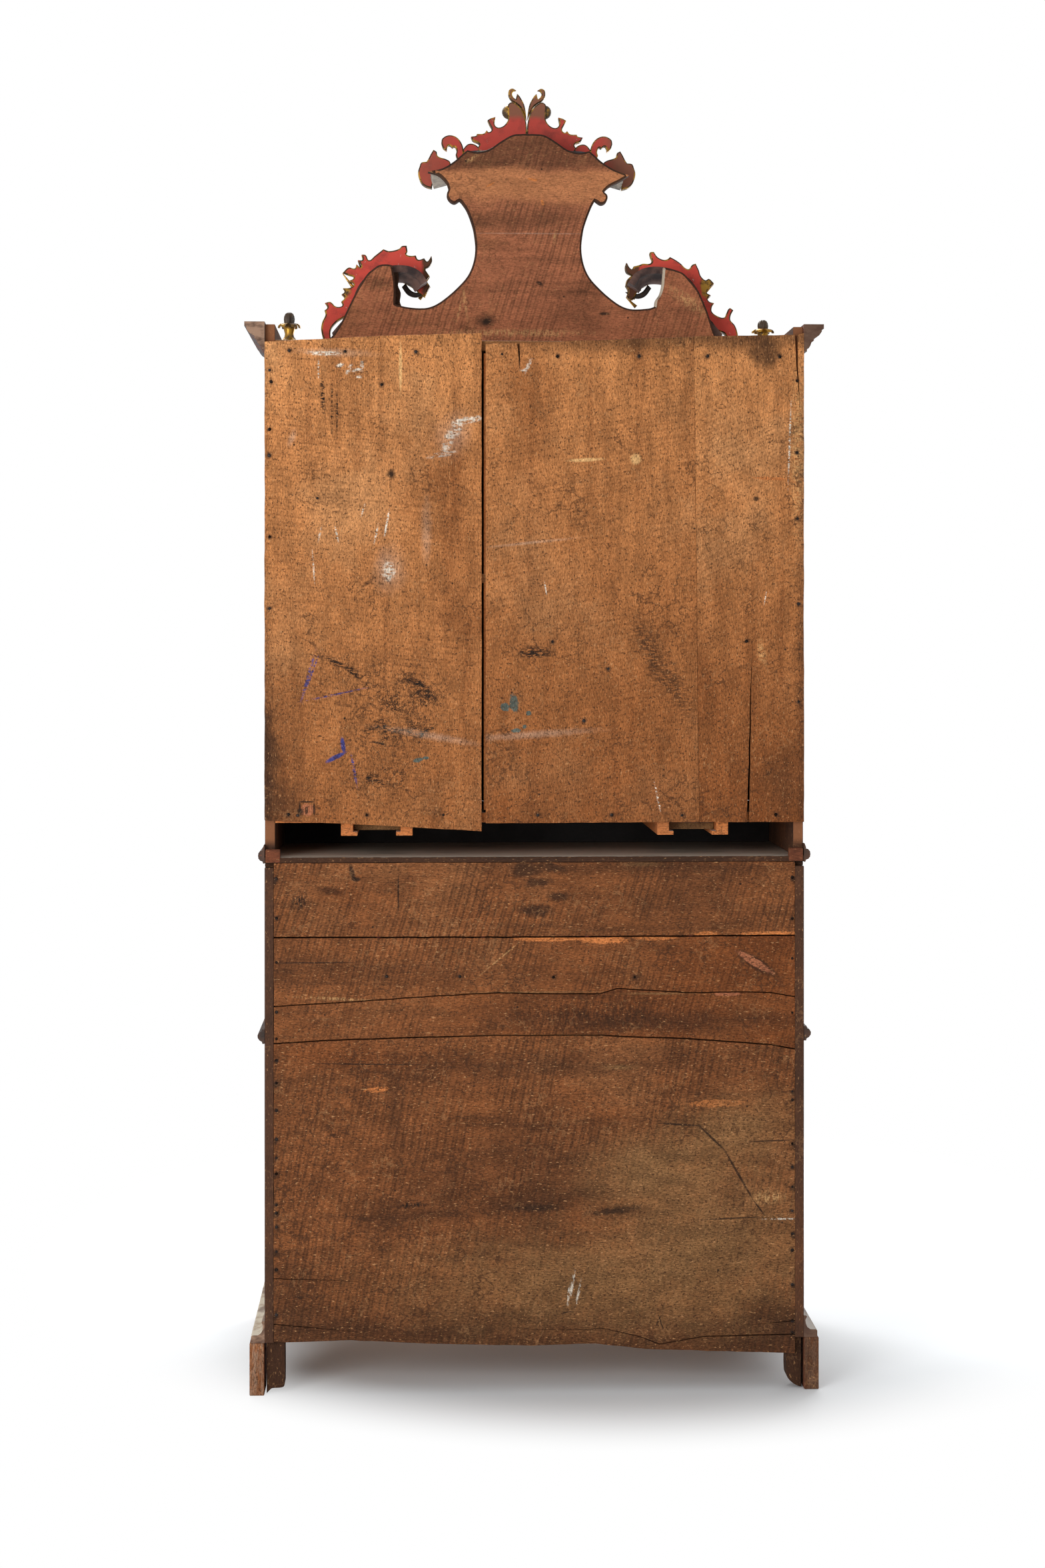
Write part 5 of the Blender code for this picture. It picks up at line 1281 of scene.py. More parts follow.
class BuildLeaves(Operator):
    """Carved leaves on the humps, the ears and the top of the crest, red behind and gilt in front."""

    bl_idname = "cabinet.leaves"
    bl_label = "Carved leaves"

    def execute(self, context):
        finish = leaf_finish("top_leaf", head=CORNICE_TOP + 0.498)
        brown = leaf_finish("sprig_leaf", head=CORNICE_TOP)
        gilt = gilt_finish("gilding")
        old_gilt = gilt_finish("ball_gilding", 0.5)
        dark = painted_finish("tendril_paint", colours().soot, colours().gilt_dark, colours().gilt, 0.66)
        split = LEAF_FRONT + (LEAF_BACK - LEAF_FRONT) * LEAF_SPLIT
        for name, side in SIDES.items():
            outer, loop, inside = HUMP_TRIM[name]
            red = leaf_finish("hump_leaf_" + name, shaded_inside=inside)
            leaf_piece("hump_leaf_" + name, [outer + HUMP_INNER + loop], side, gilt, ["hump_acanthus_" + name],
                       hump_veins(outer), back=split)
            drawn = [(*point, *flag[2:]) for point, flag in zip(towards(outer, HUMP_MIDDLE, 0.99), outer)]
            leaf_piece("hump_back_" + name, [tuple(drawn) + HUMP_INNER + loop], side, red, [], front=split - 0.002)
            leaf_piece("hump_tendril_" + name, [TENDRIL], side, dark, [], front=LEAF_FRONT + 0.006,
                       back=LEAF_BACK - 0.004)
            leaf_piece("top_scroll_" + name, [SCROLL, EAR_CAP], side, finish, ["top_acanthus_" + name], TOP_VEINS)
            leaf_piece("top_sprig_" + name, [SPRIG], side, brown, [], front=LEAF_FRONT + 0.004,
                       back=LEAF_BACK - 0.006)
            leaf_piece("ear_curl_" + name, [EAR_CURL, HOLLOW_LEAF], side, finish, [], front=LEAF_FRONT + 0.003)
            ball = [(BALL_RADIUS * math.sin(math.pi * k / 10), -BALL_RADIUS * math.cos(math.pi * k / 10))
                    for k in range(1, 10)]
            across, up = BALL_PLACE
            place = (side * across, LEAF_BACK - BALL_RADIUS - BALL_SUNK, CORNICE_TOP + up)
            mesh = formed("top_ball_" + name, add_turning, ball, place, (0, 1, 0))
            piece("top_ball_" + name, mesh, old_gilt, "case")
        return {"FINISHED"}


# Finials

BUD = (
    (0.003, 0.04), (0.009, 0.043), (0.0112, 0.049), (0.0118, 0.056), (0.011, 0.062), (0.0085, 0.0675),
    (0.005, 0.0702), (0.0015, 0.0708),
)
STEM = (
    (0.018, 0.0), (0.0215, 0.003), (0.0205, 0.008), (0.015, 0.012), (0.0105, 0.018), (0.0095, 0.024),
    (0.0125, 0.036), (0.01, 0.044), (0.004, 0.046),
)
BUD_HEIGHT = {"left": 0.84, "right": 1.0}
CUP_LEAF = (
    (0.007, 0.024, 0.004), (0.0105, 0.034, 0.0065), (0.015, 0.0425, 0.008), (0.02, 0.0455, 0.0078),
    (0.024, 0.042, 0.007), (0.025, 0.037, 0.005),
)


def add_cup_leaf(bm, place, angle, rise):
    """One leaf of a finial's cup, curling over at its tip. Its points are radius, height and half width."""
    out = Vector((math.cos(angle), math.sin(angle), 0))
    along_rim = Vector((-out.y, out.x, 0))
    rings = []
    for radius, height, half in CUP_LEAF:
        middle = Vector(place) + out * radius + Vector((0, 0, height * rise))
        hollow = out * (0.25 * half)
        thick = out * 0.0036
        edge = along_rim * half
        rings.append([middle - edge - hollow, middle, middle + edge - hollow, middle + edge - hollow - thick,
                      middle - thick * 1.5, middle - edge - hollow - thick])
    add_loft(bm, rings)


class BuildFinials(Operator):
    """Two ribbed buds in leaf cups on the front corners of the cornice."""

    bl_idname = "cabinet.finials"
    bl_label = "Finials"

    def execute(self, context):
        tint = colours()
        bronze = painted_finish("bud_bronze", tint.gilt_dark, tint.soot, tint.gilt, 0.62, 0.45)
        gilt = gilt_finish("cup_gilding")
        for name in SIDES:
            low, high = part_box("finial_" + name)
            place = ((low.x + high.x) / 2, (low.y + high.y) / 2, low.z)
            rise = BUD_HEIGHT[name]
            bud, stem = ([(radius, height * rise) for radius, height in line] for line in (BUD, STEM))
            mesh = formed("bud_" + name, add_turning, bud, place, (0, 0, 1), steps=64, lobes=sizes().bud_lobes,
                          depth=0.16)
            piece("finial_bud_" + name, mesh, bronze, "case", ["finial_" + name])
            bm = bmesh.new()
            add_turning(bm, stem, place, (0, 0, 1))
            for leaf in range(sizes().cup_leaves):
                add_cup_leaf(bm, place, math.tau * leaf / sizes().cup_leaves, rise)
            piece("finial_cup_" + name, mesh_of(bm, "cup_" + name), gilt, "case")
        return {"FINISHED"}


# Mouldings

CORNICE_SECTION = (
    (0.0, 0.0), (0.006, 0.0), (0.006, 0.006), (0.01, 0.007), (0.013, 0.012), (0.015, 0.018), (0.02, 0.022),
    (0.02, 0.026), (0.024, 0.028), (0.031, 0.033), (0.036, 0.04), (0.0365, 0.045), (0.0403, 0.046),
    (0.0403, 0.055), (0.0, 0.055),
)
WAIST_SECTION = (
    (0.0, 0.0), (0.003, 0.0), (0.004, 0.004), (0.009, 0.006), (0.0122, 0.01), (0.013, 0.0155), (0.0122, 0.021),
    (0.009, 0.025), (0.004, 0.0265), (0.004, 0.03), (0.0015, 0.037), (0.0, 0.037),
)
LEVEL_SECTION = (
    (0.0, 0.0), (0.004, 0.0), (0.005, 0.004), (0.01, 0.007), (0.0134, 0.012), (0.0138, 0.017), (0.011, 0.022),
    (0.006, 0.0245), (0.005, 0.029), (0.0, 0.029),
)
BASE_SECTION = (
    (0.0, 0.0), (0.027, 0.0), (0.027, 0.013), (0.024, 0.0155), (0.013, 0.016), (0.007, 0.02), (0.004, 0.026),
    (0.003, 0.034), (0.0045, 0.038), (0.006, 0.041), (0.0045, 0.0435), (0.0, 0.044),
)


def round_moulding(name, section, front, foot):
    """A moulding that goes round the two sides and the front, mitred at its corners."""
    corners = ((-1, BACK_Y, 0), (-1, front, 1), (1, front, 1), (1, BACK_Y, 0))
    rings = [[(side * (CASE_HALF + out), y - out * turned, foot + up) for out, up in section]
             for side, y, turned in corners]
    return formed(name, add_loft, rings)


def darker_end(finish, raw):
    """Bare end grain, darker on the left side of the cabinet."""
    return finish.mix(finish.ramp(finish.axis("X"), 0.1, -0.1, 0.0, 0.8), raw, colours().edge_brown)


def bare_ends(finish, tone):
    """Leave the ends that face the back as bare, greyed wood."""
    tint = colours()
    raw = finish.mix(finish.ramp(finish.grit((30, 30, 60), 4, 0.6), 0.38, 0.64), tint.end_grain, tint.edge_brown)
    return finish.mix(finish.ramp(finish.facing((0, 1, 0)), 0.6, 0.9), tone, darker_end(finish, raw))


def stone_finish():
    """Cream paint with a brown marbled figure, dirty and chipped, with painted shade darkening its left end."""
    tint = colours()
    finish = Finish("stone_paint")
    swirl = finish.grit((16, 9, 20), 3, 0.5)
    figure = finish.ramp(swirl, 0.5, 0.58, 0.0, 0.8)
    tone = finish.mix(figure, tint.stone, tint.stone_figure)
    dirt = finish.ramp(finish.grit((30, 30, 30), 5, 0.65), 0.48, 0.68, 0.0, 0.6)
    tone = finish.mix(dirt, tone, tint.greyed)
    chips = finish.ramp(finish.grit((95, 95, 95), 4, 0.7), 0.66, 0.72, 0.0, 0.8)
    tone = finish.mix(chips, tone, tint.low_dark)
    # Painted shade: the left end of the moulding is darkened towards brown, where less light falls
    tone = finish.mix(finish.ramp(finish.axis("X"), -0.35, -0.56, 0.0, 0.62), tone, tint.edge_brown)
    return finish.finish(bare_ends(finish, tone), 0.62, dirt, 0.0006)


def cornice_finish():
    """Slate paint, brown where it is worn, bare at its ends."""
    tint = colours()
    finish = Finish("cornice_paint")
    clouds = finish.grit((16, 16, 16), 5, 0.62)
    tone = finish.mix(finish.ramp(clouds, 0.42, 0.68), tint.slate, tint.red_brown)
    chips = finish.ramp(finish.grit((75, 75, 75), 4, 0.7), 0.64, 0.72, 0.0, 0.7)
    tone = finish.mix(chips, tone, tint.dust)
    return finish.finish(bare_ends(finish, tone), finish.ramp(clouds, 0.3, 0.7, 0.6, 0.75), clouds, 0.0005)


class BuildMouldings(Operator):
    """Cornice, waist, level and base mouldings with finer sections."""

    bl_idname = "cabinet.mouldings"
    bl_label = "Mouldings"

    def execute(self, context):
        tint = colours()
        upper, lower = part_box("upper_side_left")[0].y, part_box("bureau_side_left")[0].y
        stain = painted_finish("waist_stain", tint.edge_brown, tint.soot, tint.red_brown, 0.58)
        for name, node, section, front, finish, slot in (
                ("cornice_run", "cornice", CORNICE_SECTION, upper, cornice_finish(), "slate_painted_wood"),
                ("waist_run", "waist_moulding", WAIST_SECTION, upper, stain, "red_brown_wood"),
                ("base_run", "base_moulding", BASE_SECTION, lower, stone_finish(), "painted_stone_wood")):
            mesh = round_moulding(name, section, front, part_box(node)[0].z)
            piece(name, mesh, finish, "case", [node])
        level = painted_finish("level_stain", tint.edge_brown, tint.soot, tint.greyed, 0.62)
        for name, side in SIDES.items():
            low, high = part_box("level_moulding_" + name)
            rings = [[(side * (CASE_HALF + 0.0003 + out), y, low.z + up) for out, up in LEVEL_SECTION]
                     for y in (low.y, (low.y + high.y) / 2, high.y)]
            piece("level_bead_" + name, formed("level_" + name, add_loft, rings), level, "case",
                  ["level_moulding_" + name])
        return {"FINISHED"}


# Feet

BRACKET = (
    (0.0, 0.0), (0.07, 0.0), (0.078, 0.01), (0.081, 0.03), (0.09, 0.048), (0.108, 0.058), (0.126, 0.066),
    (0.136, 0.08), (0.15, 0.086),
)
BRACKET_THICK = 0.0295
FOOT_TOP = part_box("foot_back_left")[1].z


def add_bracket(bm, corner, along_wall, inward, thick):
    """One sawn face of a bracket foot, from a corner along a wall, thickened inwards."""
    line = [Vector(point) for point in BRACKET] + [Vector((BRACKET[-1][0], FOOT_TOP)), Vector((0.0, FOOT_TOP))]
    rings = []
    for depth in (0.0, thick):
        rings.append([Vector(corner) + Vector(along_wall) * far + Vector(inward) * depth + Vector((0, 0, up))
                      for far, up in line])
    add_loft(bm, rings)


GLUE_BLOCK = {
    "right": ((0.5006, 0.02), (0.503, 0.014), (0.511, 0.012), (0.526, 0.011), (0.531, 0.007), (0.5365, 0.001, SHARP)),
    "left": ((0.506, 0.074), (0.5065, 0.028), (0.511, 0.017), (0.524, 0.006), (0.5365, 0.001, SHARP)),
}
BLOCK_FRONT_Y = 0.262


def foot_finish():
    """Stained foot, paler where its end grain faces the back."""
    tint = colours()
    finish = Finish("foot_wood")
    shift = (1.7, 0.4, 2.9)
    tone = wood_figure(finish, "Z", (tint.red_brown, tint.soot, tint.low_light), shift)
    grain = finish.grit((160, 160, 24), 3, 0.6)
    raw = darker_end(finish, finish.mix(finish.ramp(grain, 0.36, 0.62), tint.end_grain, tint.low_pine))
    tone = finish.mix(finish.ramp(finish.facing((0, 1, 0)), 0.7, 0.95), tone, raw)
    tone, height = gritty(finish, "Z", tone, shift, 1.1)
    return finish.finish(tone, 0.8, height, 0.0012, shine=0.25)


class BuildFeet(Operator):
    """Four bracket feet, with worn glue blocks behind the back ones."""

    bl_idname = "cabinet.feet"
    bl_label = "Feet"

    def execute(self, context):
        wood = foot_finish()
        tint = colours()
        block_wood = plain_wood("glue_block_wood", "Z", (tint.low_dark, tint.soot, tint.low_pine), 0.0014)
        for name, side in SIDES.items():
            low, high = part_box("foot_back_" + name)
            outside = high.x if side > 0 else low.x
            inward = (-side, 0, 0)
            mesh = formed("back_foot_" + name, add_bracket, (outside, high.y, 0), (0, -1, 0), inward, BRACKET_THICK)
            piece("back_foot_" + name, mesh, wood, "case",
                  ["foot_back_" + name], 0.002, smooth=False)
            foot = GLUE_BLOCK[name]
            block = trace(foot + ((foot[-1][0], FOOT_TOP, SHARP), (foot[0][0], FOOT_TOP, SHARP)), steps=3)
            mesh = formed("glue_block_" + name, add_slab, [(side * x, up) for x, up in block], BLOCK_FRONT_Y,
                          BACK_FRONT_Y - 0.0006)
            piece("glue_block_" + name, mesh, block_wood, "case", wear=0.002, smooth=False)
            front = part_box("foot_front_" + name)[0].y
            bm = bmesh.new()
            add_bracket(bm, (outside, front + BRACKET_THICK, 0), (0, 1, 0), inward, BRACKET_THICK)
            add_bracket(bm, (outside, front, 0), inward, (0, 1, 0), BRACKET_THICK)
            piece("front_foot_" + name, mesh_of(bm, "front_foot_" + name), wood, "case",
                  ["foot_front_" + name], 0.002, smooth=False)
        return {"FINISHED"}


# Carcass

def case_finish(name):
    """Case sides: lacquer outside and on the front edges, dark worn wood on the back edges, bare inside."""
    tint = colours()
    finish = Finish(name)
    wood, height = wood_tones(finish, "Z", (tint.edge_brown, tint.soot, tint.low_pine), (0.9, 0.2, 1.4))
    behind = finish.ramp(finish.facing((0, 1, 0)), 0.4, 0.8)
    post = finish.math("MULTIPLY", behind, finish.ramp(finish.axis("Z"), 1.09, 1.11))
    wood = finish.mix(finish.math("MULTIPLY", post, 0.7), wood, tint.post_brown)
    clouds = finish.grit((7, 7, 7), 5, 0.6)
    lacquer = finish.mix(finish.ramp(clouds, 0.35, 0.68), tint.lacquer_dark, tint.lacquer)
    rubbed = finish.ramp(finish.grit((22, 22, 9), 5, 0.65), 0.62, 0.72, 0.0, 0.6)
    lacquer = finish.mix(rubbed, lacquer, tint.red_brown)
    outside = finish.math("GREATER_THAN", finish.math("ABSOLUTE", finish.axis("X")), CASE_HALF - 0.0006)
    front = finish.math("GREATER_THAN", finish.facing((0, -1, 0)), 0.4)
    painted = finish.math("MAXIMUM", outside, front)
    tone = finish.mix(painted, wood, lacquer)
    return finish.finish(tone, finish.ramp(painted, 0, 1, 0.85, 0.42), height, 0.0006, shine=0.3)


CORNER_BLOCK = (0.509, 0.5385, 1.0615, 1.088)


def bureau_top_finish():
    """Dusty top, bright with dust near its dark, chipped back edge, its dust painted fainter further in as painted
    shade.
    """
    tint = colours()
    finish = Finish("bureau_top_wood")
    tone, height = wood_tones(finish, "X", (tint.low_dark, tint.soot, tint.red_brown), (1.7, 0.4, 2.9))
    settled = finish.ramp(finish.facing((0, 0, 1)), 0.6, 0.95)
    drift = finish.ramp(finish.grit((6, 16, 6), 4, 0.6), 0.28, 0.5, 0.65, 1.0)
    # Painted shade: less dust further in, so the top darkens away from the back
    unshaded_share = finish.ramp(finish.axis("Y"), 0.02, BACK_FRONT_Y, 0.6, 1.0)
    edge = finish.ramp(finish.math("MULTIPLY_ADD", finish.grit((60, 60, 60), 4, 0.7), 0.02, finish.axis("Y")),
                       BACK_Y + 0.004, BACK_Y + 0.01, 1.0, 0.2)
    cover = finish.math("MULTIPLY", finish.math("MULTIPLY", settled, drift), finish.math("MULTIPLY", unshaded_share, edge))
    return finish.finish(finish.mix(cover, tone, tint.dust), 0.85, height, 0.001, shine=0.25)


class BuildCarcass(Operator):
    """Sides, tops, bottoms and shelves of both cases, with the bureau top's rebate and the corner blocks."""

    bl_idname = "cabinet.carcass"
    bl_label = "Carcass"

    def execute(self, context):
        tint = colours()
        sides = case_finish("case_sides")
        for name in SIDES:
            eased("bureau_side_" + name, sides)
            eased("upper_side_" + name, sides)
        inside = plain_wood("inner_wood", "X", inner_tones(), dusty=True)
        for node in ("upper_shelf", "upper_top"):
            eased(node, inside)
        for node in ("bureau_bottom", "drawer_divider_lower", "drawer_divider_upper"):
            eased(node, lacquer_finish(node + "_lacquer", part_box(node)[0].y + DIVIDER_LIP))
        runners = plain_wood("runner_wood", "X", (tint.fresh, tint.post_brown, tint.low_light), dusty=True)
        eased("upper_bottom", runners)
        low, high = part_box("bureau_top")
        rebate = BACK_FRONT_Y - SEAM
        section = ((low.y, low.z), (low.y, high.z), (high.y, high.z), (high.y, BOARD_TOP + 0.0006),
                   (rebate, BOARD_TOP + 0.0006), (rebate, low.z))
        rings = [[(x, y, z) for y, z in section] for x in (low.x, 0.0, high.x)]
        piece("bureau_top_board", formed("bureau_top_board", add_loft, rings), bureau_top_finish(), "case",
              ["bureau_top"], 0.0015, smooth=False)
        block_wood = plain_wood("corner_block_wood", "X", (tint.red_brown, tint.soot, tint.low_light), 0.0012)
        for name, side in SIDES.items():
            low_x, high_x = sorted((side * CORNER_BLOCK[0], side * CORNER_BLOCK[1]))
            mesh = formed("corner_block_" + name, add_box, (low_x, BACK_FRONT_Y + SEAM, CORNER_BLOCK[2]),
                          (high_x, BACK_Y + 0.001, CORNER_BLOCK[3]))
            piece("corner_block_" + name, mesh, block_wood, "case", wear=0.0022, smooth=False)
        return {"FINISHED"}


# Fronts

SHIELD = (
    (0.0, 0.024), (0.007, 0.02), (0.013, 0.022), (0.015, 0.012), (0.01, 0.004), (0.014, -0.006), (0.01, -0.018),
    (0.0, -0.026, SHARP), (-0.01, -0.018), (-0.014, -0.006), (-0.01, 0.004), (-0.015, 0.012), (-0.013, 0.022),
    (-0.007, 0.02),
)
KEYHOLE = (
    (0.0015, -0.01, SHARP), (0.0011, 0.0, SHARP), (0.0028, 0.003), (0.0, 0.006), (-0.0028, 0.003),
    (-0.0011, 0.0, SHARP), (-0.0015, -0.01, SHARP),
)
KNOB = (
    (0.0165, 0.0), (0.017, 0.0012), (0.014, 0.003), (0.007, 0.0042), (0.0052, 0.008), (0.006, 0.011),
    (0.0105, 0.0145), (0.0125, 0.0185), (0.0112, 0.0225), (0.007, 0.025), (0.002, 0.026),
)
PLATE = 0.0012
BEAD_RISE = 0.0009
SMALL_KNOB = 0.45
SECOND_LINE = 0.01
SMALL_INSET = 0.01
DOOR_INSET = 0.024
FALL_LAP = 0.036
FALL_INSETS = (0.03, 0.042)
FALL_SLOPE = 59.0
FALL_LOCK_DOWN = 0.075
DOOR_LOCK = (0.046, -0.02)
SLIP_LAP = 0.004
SLIP_WIDTH = 0.012
SLIP_RISE = 0.0085
PIVOT_JOINTS = 8
# How far back the lacquer of a front goes before its wood is bare
DIVIDER_LIP = 0.02
DRAWER_LIP = 0.021
LOPER_LIP = 0.018
WRITING_LIP = 0.26
SMALL_LIP = 0.013
DOOR_LIP = 0.0225


class Face:
    """A flat face of the cabinet with its own across, up and outward directions."""

    def __init__(self, middle, up=(0, 0, 1), out=(0, -1, 0)):
        self.middle, self.up, self.out = Vector(middle), Vector(up), Vector(out)

    def spot(self, across, up, proud=0.0):
        """A point on the face, or proud of it."""
        return self.middle + Vector((across, 0, 0)) + self.up * up + self.out * proud


def front_face(node):
    """The front face of a frame node."""
    low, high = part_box(node)
    return Face(((low.x + high.x) / 2, low.y, (low.z + high.z) / 2))


def half_size(node):
    """Half the width and half the height of a frame node."""
    low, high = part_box(node)
    return (high.x - low.x) / 2, (high.z - low.z) / 2


def rectangle(half_wide, half_tall, inset):
    """A rectangle's corners drawn in by an inset."""
    across, up = half_wide - inset, half_tall - inset
    return [(-across, -up), (across, -up), (across, up), (-across, up)]


def add_bead(bm, loop, face, width, rise):
    """A raised half-round line round a closed loop on a face, mitred at its corners."""
    points = [Vector(point) for point in loop]
    section = ((-0.5, -0.3), (-0.35, 0.7), (0.0, 1.0), (0.35, 0.7), (0.5, -0.3))
    rings = []
    for i, point in enumerate(points):
        before = (point - points[i - 1]).normalized()
        after = (points[(i + 1) % len(points)] - point).normalized()
        normal = Vector((-before.y - after.y, before.x + after.x)).normalized()
        stretch = 1.0 / max(0.3, normal.dot(Vector((-after.y, after.x))))
        rings.append([face.spot(*(point + normal * (share * width * stretch)), proud=height * rise)
                      for share, height in section])
    add_loft(bm, rings, closed=True)


def add_plate(bm, outline, face, middle, low, high):
    """A flat plate of an outline laid on a face between two heights above it."""
    rings = [[face.spot(middle[0] + x, middle[1] + up, proud) for x, up in outline] for proud in (low, high)]
    add_loft(bm, rings)


def add_knob(bm, place, share=1.0, out=(0, -1, 0)):
    """A turned brass knob of a share of full size."""
    add_turning(bm, [(radius * share, height * share) for radius, height in KNOB], place, out)


def gilt_lines(name, node, face, loops):
    """Gilt lines on a front."""
    bm = bmesh.new()
    for loop in loops:
        add_bead(bm, loop, face, sizes().gilt_line, BEAD_RISE)
    body = frame["nodes"][node]["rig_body"]
    return piece(name, mesh_of(bm, name), gilt_finish(name, 0.22), body)


def escutcheon(name, node, face, middle=(0.0, 0.0)):
    """A brass shield with its keyhole."""
    body = frame["nodes"][node]["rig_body"]
    shield = formed(name, add_plate, trace(SHIELD, steps=4), face, middle, -SEAM, PLATE)
    brass = metal_finish(name, colours().brass, colours().gilt_dark, 0.32)
    piece(name, shield, brass, body, wear=0.0004)
    hole = formed(name + "_hole", add_plate, trace(KEYHOLE, steps=4), face, middle, PLATE - 0.0008, PLATE + 0.0001)
    dark = metal_finish(name + "_hole", colours().soot, colours().soot, 0.7)
    return piece(name + "_keyhole", hole, dark, body)


def small_knob(name, node):
    """A small brass knob in the middle of a node's front."""
    mesh = formed(name, add_knob, front_face(node).middle, SMALL_KNOB)
    brass = metal_finish(name, colours().brass, colours().gilt_dark, 0.3)
    return piece(name, mesh, brass, frame["nodes"][node]["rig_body"])


class BuildDrawers(Operator):
    """Three drawers with gilt lines, knobs and escutcheons, bare inside."""

    bl_idname = "cabinet.drawers"
    bl_label = "Drawers"

    def execute(self, context):
        tint = colours()
        for node in ("long_drawer_lower", "long_drawer_middle", "top_drawer"):
            face = front_face(node)
            lacquer = lacquer_finish(node + "_lacquer", face.middle.y + DRAWER_LIP)
            eased(node, lacquer)
            inset = sizes().gilt_inset * (0.6 if node == "top_drawer" else 1.0)
            outer = rectangle(*half_size(node), inset)
            inner = rectangle(*half_size(node), inset + SECOND_LINE)
            gilt_lines(node + "_gilt", node, face, (outer, inner))
            escutcheon(node + "_shield", node, face)
        brass = metal_finish("knob_brass", tint.brass, tint.gilt_dark, 0.28)
        for drawer in ("long_drawer_lower", "long_drawer_middle"):
            for side in SIDES:
                node = f"{drawer}_knob_{side}"
                low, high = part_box(node)
                mesh = formed(node, add_knob, ((low.x + high.x) / 2, high.y + 0.0003, (low.z + high.z) / 2))
                piece(node + "_turned", mesh, brass, drawer, [node])
        return {"FINISHED"}


def fall_face():
    """The sloping outer face of the fall: across from the middle, up from its lower edge."""
    mesh = frame["nodes"]["fall_front"].data
    slope = math.radians(FALL_SLOPE)
    up = Vector((0, math.cos(slope), math.sin(slope)))
    out = Vector((0, -math.sin(slope), math.cos(slope)))
    reach = max(vertex.co.dot(out) for vertex in mesh.vertices)
    rises = [vertex.co.dot(up) for vertex in mesh.vertices if vertex.co.dot(out) > reach - 0.0005]
    middle = out * reach + up * (min(rises) + max(rises)) / 2
    return Face(middle, up, out), (max(rises) - min(rises)) / 2


class BuildFall(Operator):
    """Sloping fall with gilt lines and its lock, its hinges, the lopers and the writing board."""

    bl_idname = "cabinet.fall"
    bl_label = "Fall and lopers"

    def execute(self, context):
        tint = colours()
        face, half_tall = fall_face()
        eased("fall_front", lacquer_finish("fall_lacquer"))
        half_wide = half_size("fall_front")[0]
        loops = [rectangle(half_wide - FALL_LAP, half_tall, inset) for inset in FALL_INSETS]
        gilt_lines("fall_gilt", "fall_front", face, loops)
        escutcheon("fall_shield", "fall_front", face, (0.0, half_tall - FALL_LOCK_DOWN))
        brass = metal_finish("hinge_brass", tint.brass, tint.gilt_dark, 0.35)
        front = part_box("writing_board")[0].y
        eased("writing_board", lacquer_finish("writing_lacquer", front + WRITING_LIP))
        for side in SIDES:
            eased("fall_hinge_" + side, brass)
            eased("loper_" + side, lacquer_finish(f"loper_{side}_lacquer", front + LOPER_LIP))
            small_knob(f"loper_{side}_knob", "loper_" + side)
        return {"FINISHED"}


class BuildWritingInterior(Operator):
    """Red-painted pigeonholes with their two small drawers."""

    bl_idname = "cabinet.interior"
    bl_label = "Writing interior"

    def execute(self, context):
        tint = colours()
        red = painted_finish("pigeonhole_red", tint.red_dark, tint.lacquer, tint.low_light, 0.7)
        eased("pigeonhole_unit", red)
        for side in SIDES:
            node = "small_drawer_" + side
            face = front_face(node)
            eased(node, lacquer_finish(node + "_lacquer", face.middle.y + SMALL_LIP))
            gilt_lines(node + "_gilt", node, face, (rectangle(*half_size(node), SMALL_INSET),))
            small_knob(node + "_knob", node)
        return {"FINISHED"}


MIRROR_RISE = 0.07


def mirror_loop(node, grow):
    """The arched outline of a mirror plate about its middle, grown outwards."""
    half_wide, half_tall = half_size(node)
    half_wide, half_tall = half_wide + grow, half_tall + grow
    spring = half_tall - MIRROR_RISE
    radius = (half_wide ** 2 + MIRROR_RISE ** 2) / (2 * MIRROR_RISE)
    start = math.asin(half_wide / radius)
    arch = []
    steps = 20
    for step in range(steps + 1):
        angle = start - 2 * start * step / steps
        arch.append((radius * math.sin(angle), spring + MIRROR_RISE - radius + radius * math.cos(angle)))
    return [(-half_wide, -half_tall), (half_wide, -half_tall)] + arch


class BuildDoors(Operator):
    """Two doors with arched mirrors, gilt slips, gilt lines, pivots and a lock."""

    bl_idname = "cabinet.doors"
    bl_label = "Doors"

    def execute(self, context):
        tint = colours()
        glass = mirror_finish()
        steel = metal_finish("pivot_iron", tint.iron, tint.soot, 0.4)
        for side in SIDES:
            node, plate = "door_" + side, "door_mirror_" + side
            face = front_face(node)
            eased(node, lacquer_finish(node + "_lacquer", face.middle.y + DOOR_LIP))
            eased(plate, glass)
            gilt_lines(node + "_gilt", node, face, (rectangle(*half_size(node), DOOR_INSET),))
            slip = formed(node + "_slip", add_bead, mirror_loop(plate, -SLIP_LAP), front_face(plate), SLIP_WIDTH,
                          SLIP_RISE)
            piece(node + "_slip", slip, gilt_finish(node + "_slip"), node)
            low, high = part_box("door_pivot_rod_" + side)
            middle = ((low.x + high.x) / 2, (low.y + high.y) / 2)
            radius, tall = (high.x - low.x) / 2, high.z - low.z
            profile = [(radius * 0.4, 0.0), (radius * 0.9, 0.002)]
            for joint in range(1, PIVOT_JOINTS):
                height = tall * joint / PIVOT_JOINTS
                profile += [(radius, height - 0.001), (radius * 0.82, height), (radius, height + 0.001)]
            profile += [(radius * 0.9, tall - 0.002), (radius * 0.4, tall)]
            pivot = formed("pivot_" + side, add_turning, profile, (*middle, low.z), (0, 0, 1), 16)
            piece("pivot_" + side, pivot, steel, "case", ["door_pivot_rod_" + side])
        face = front_face("door_right")
        escutcheon("door_shield", "door_right", face, (-half_size("door_right")[0] + DOOR_LOCK[0], DOOR_LOCK[1]))
        return {"FINISHED"}


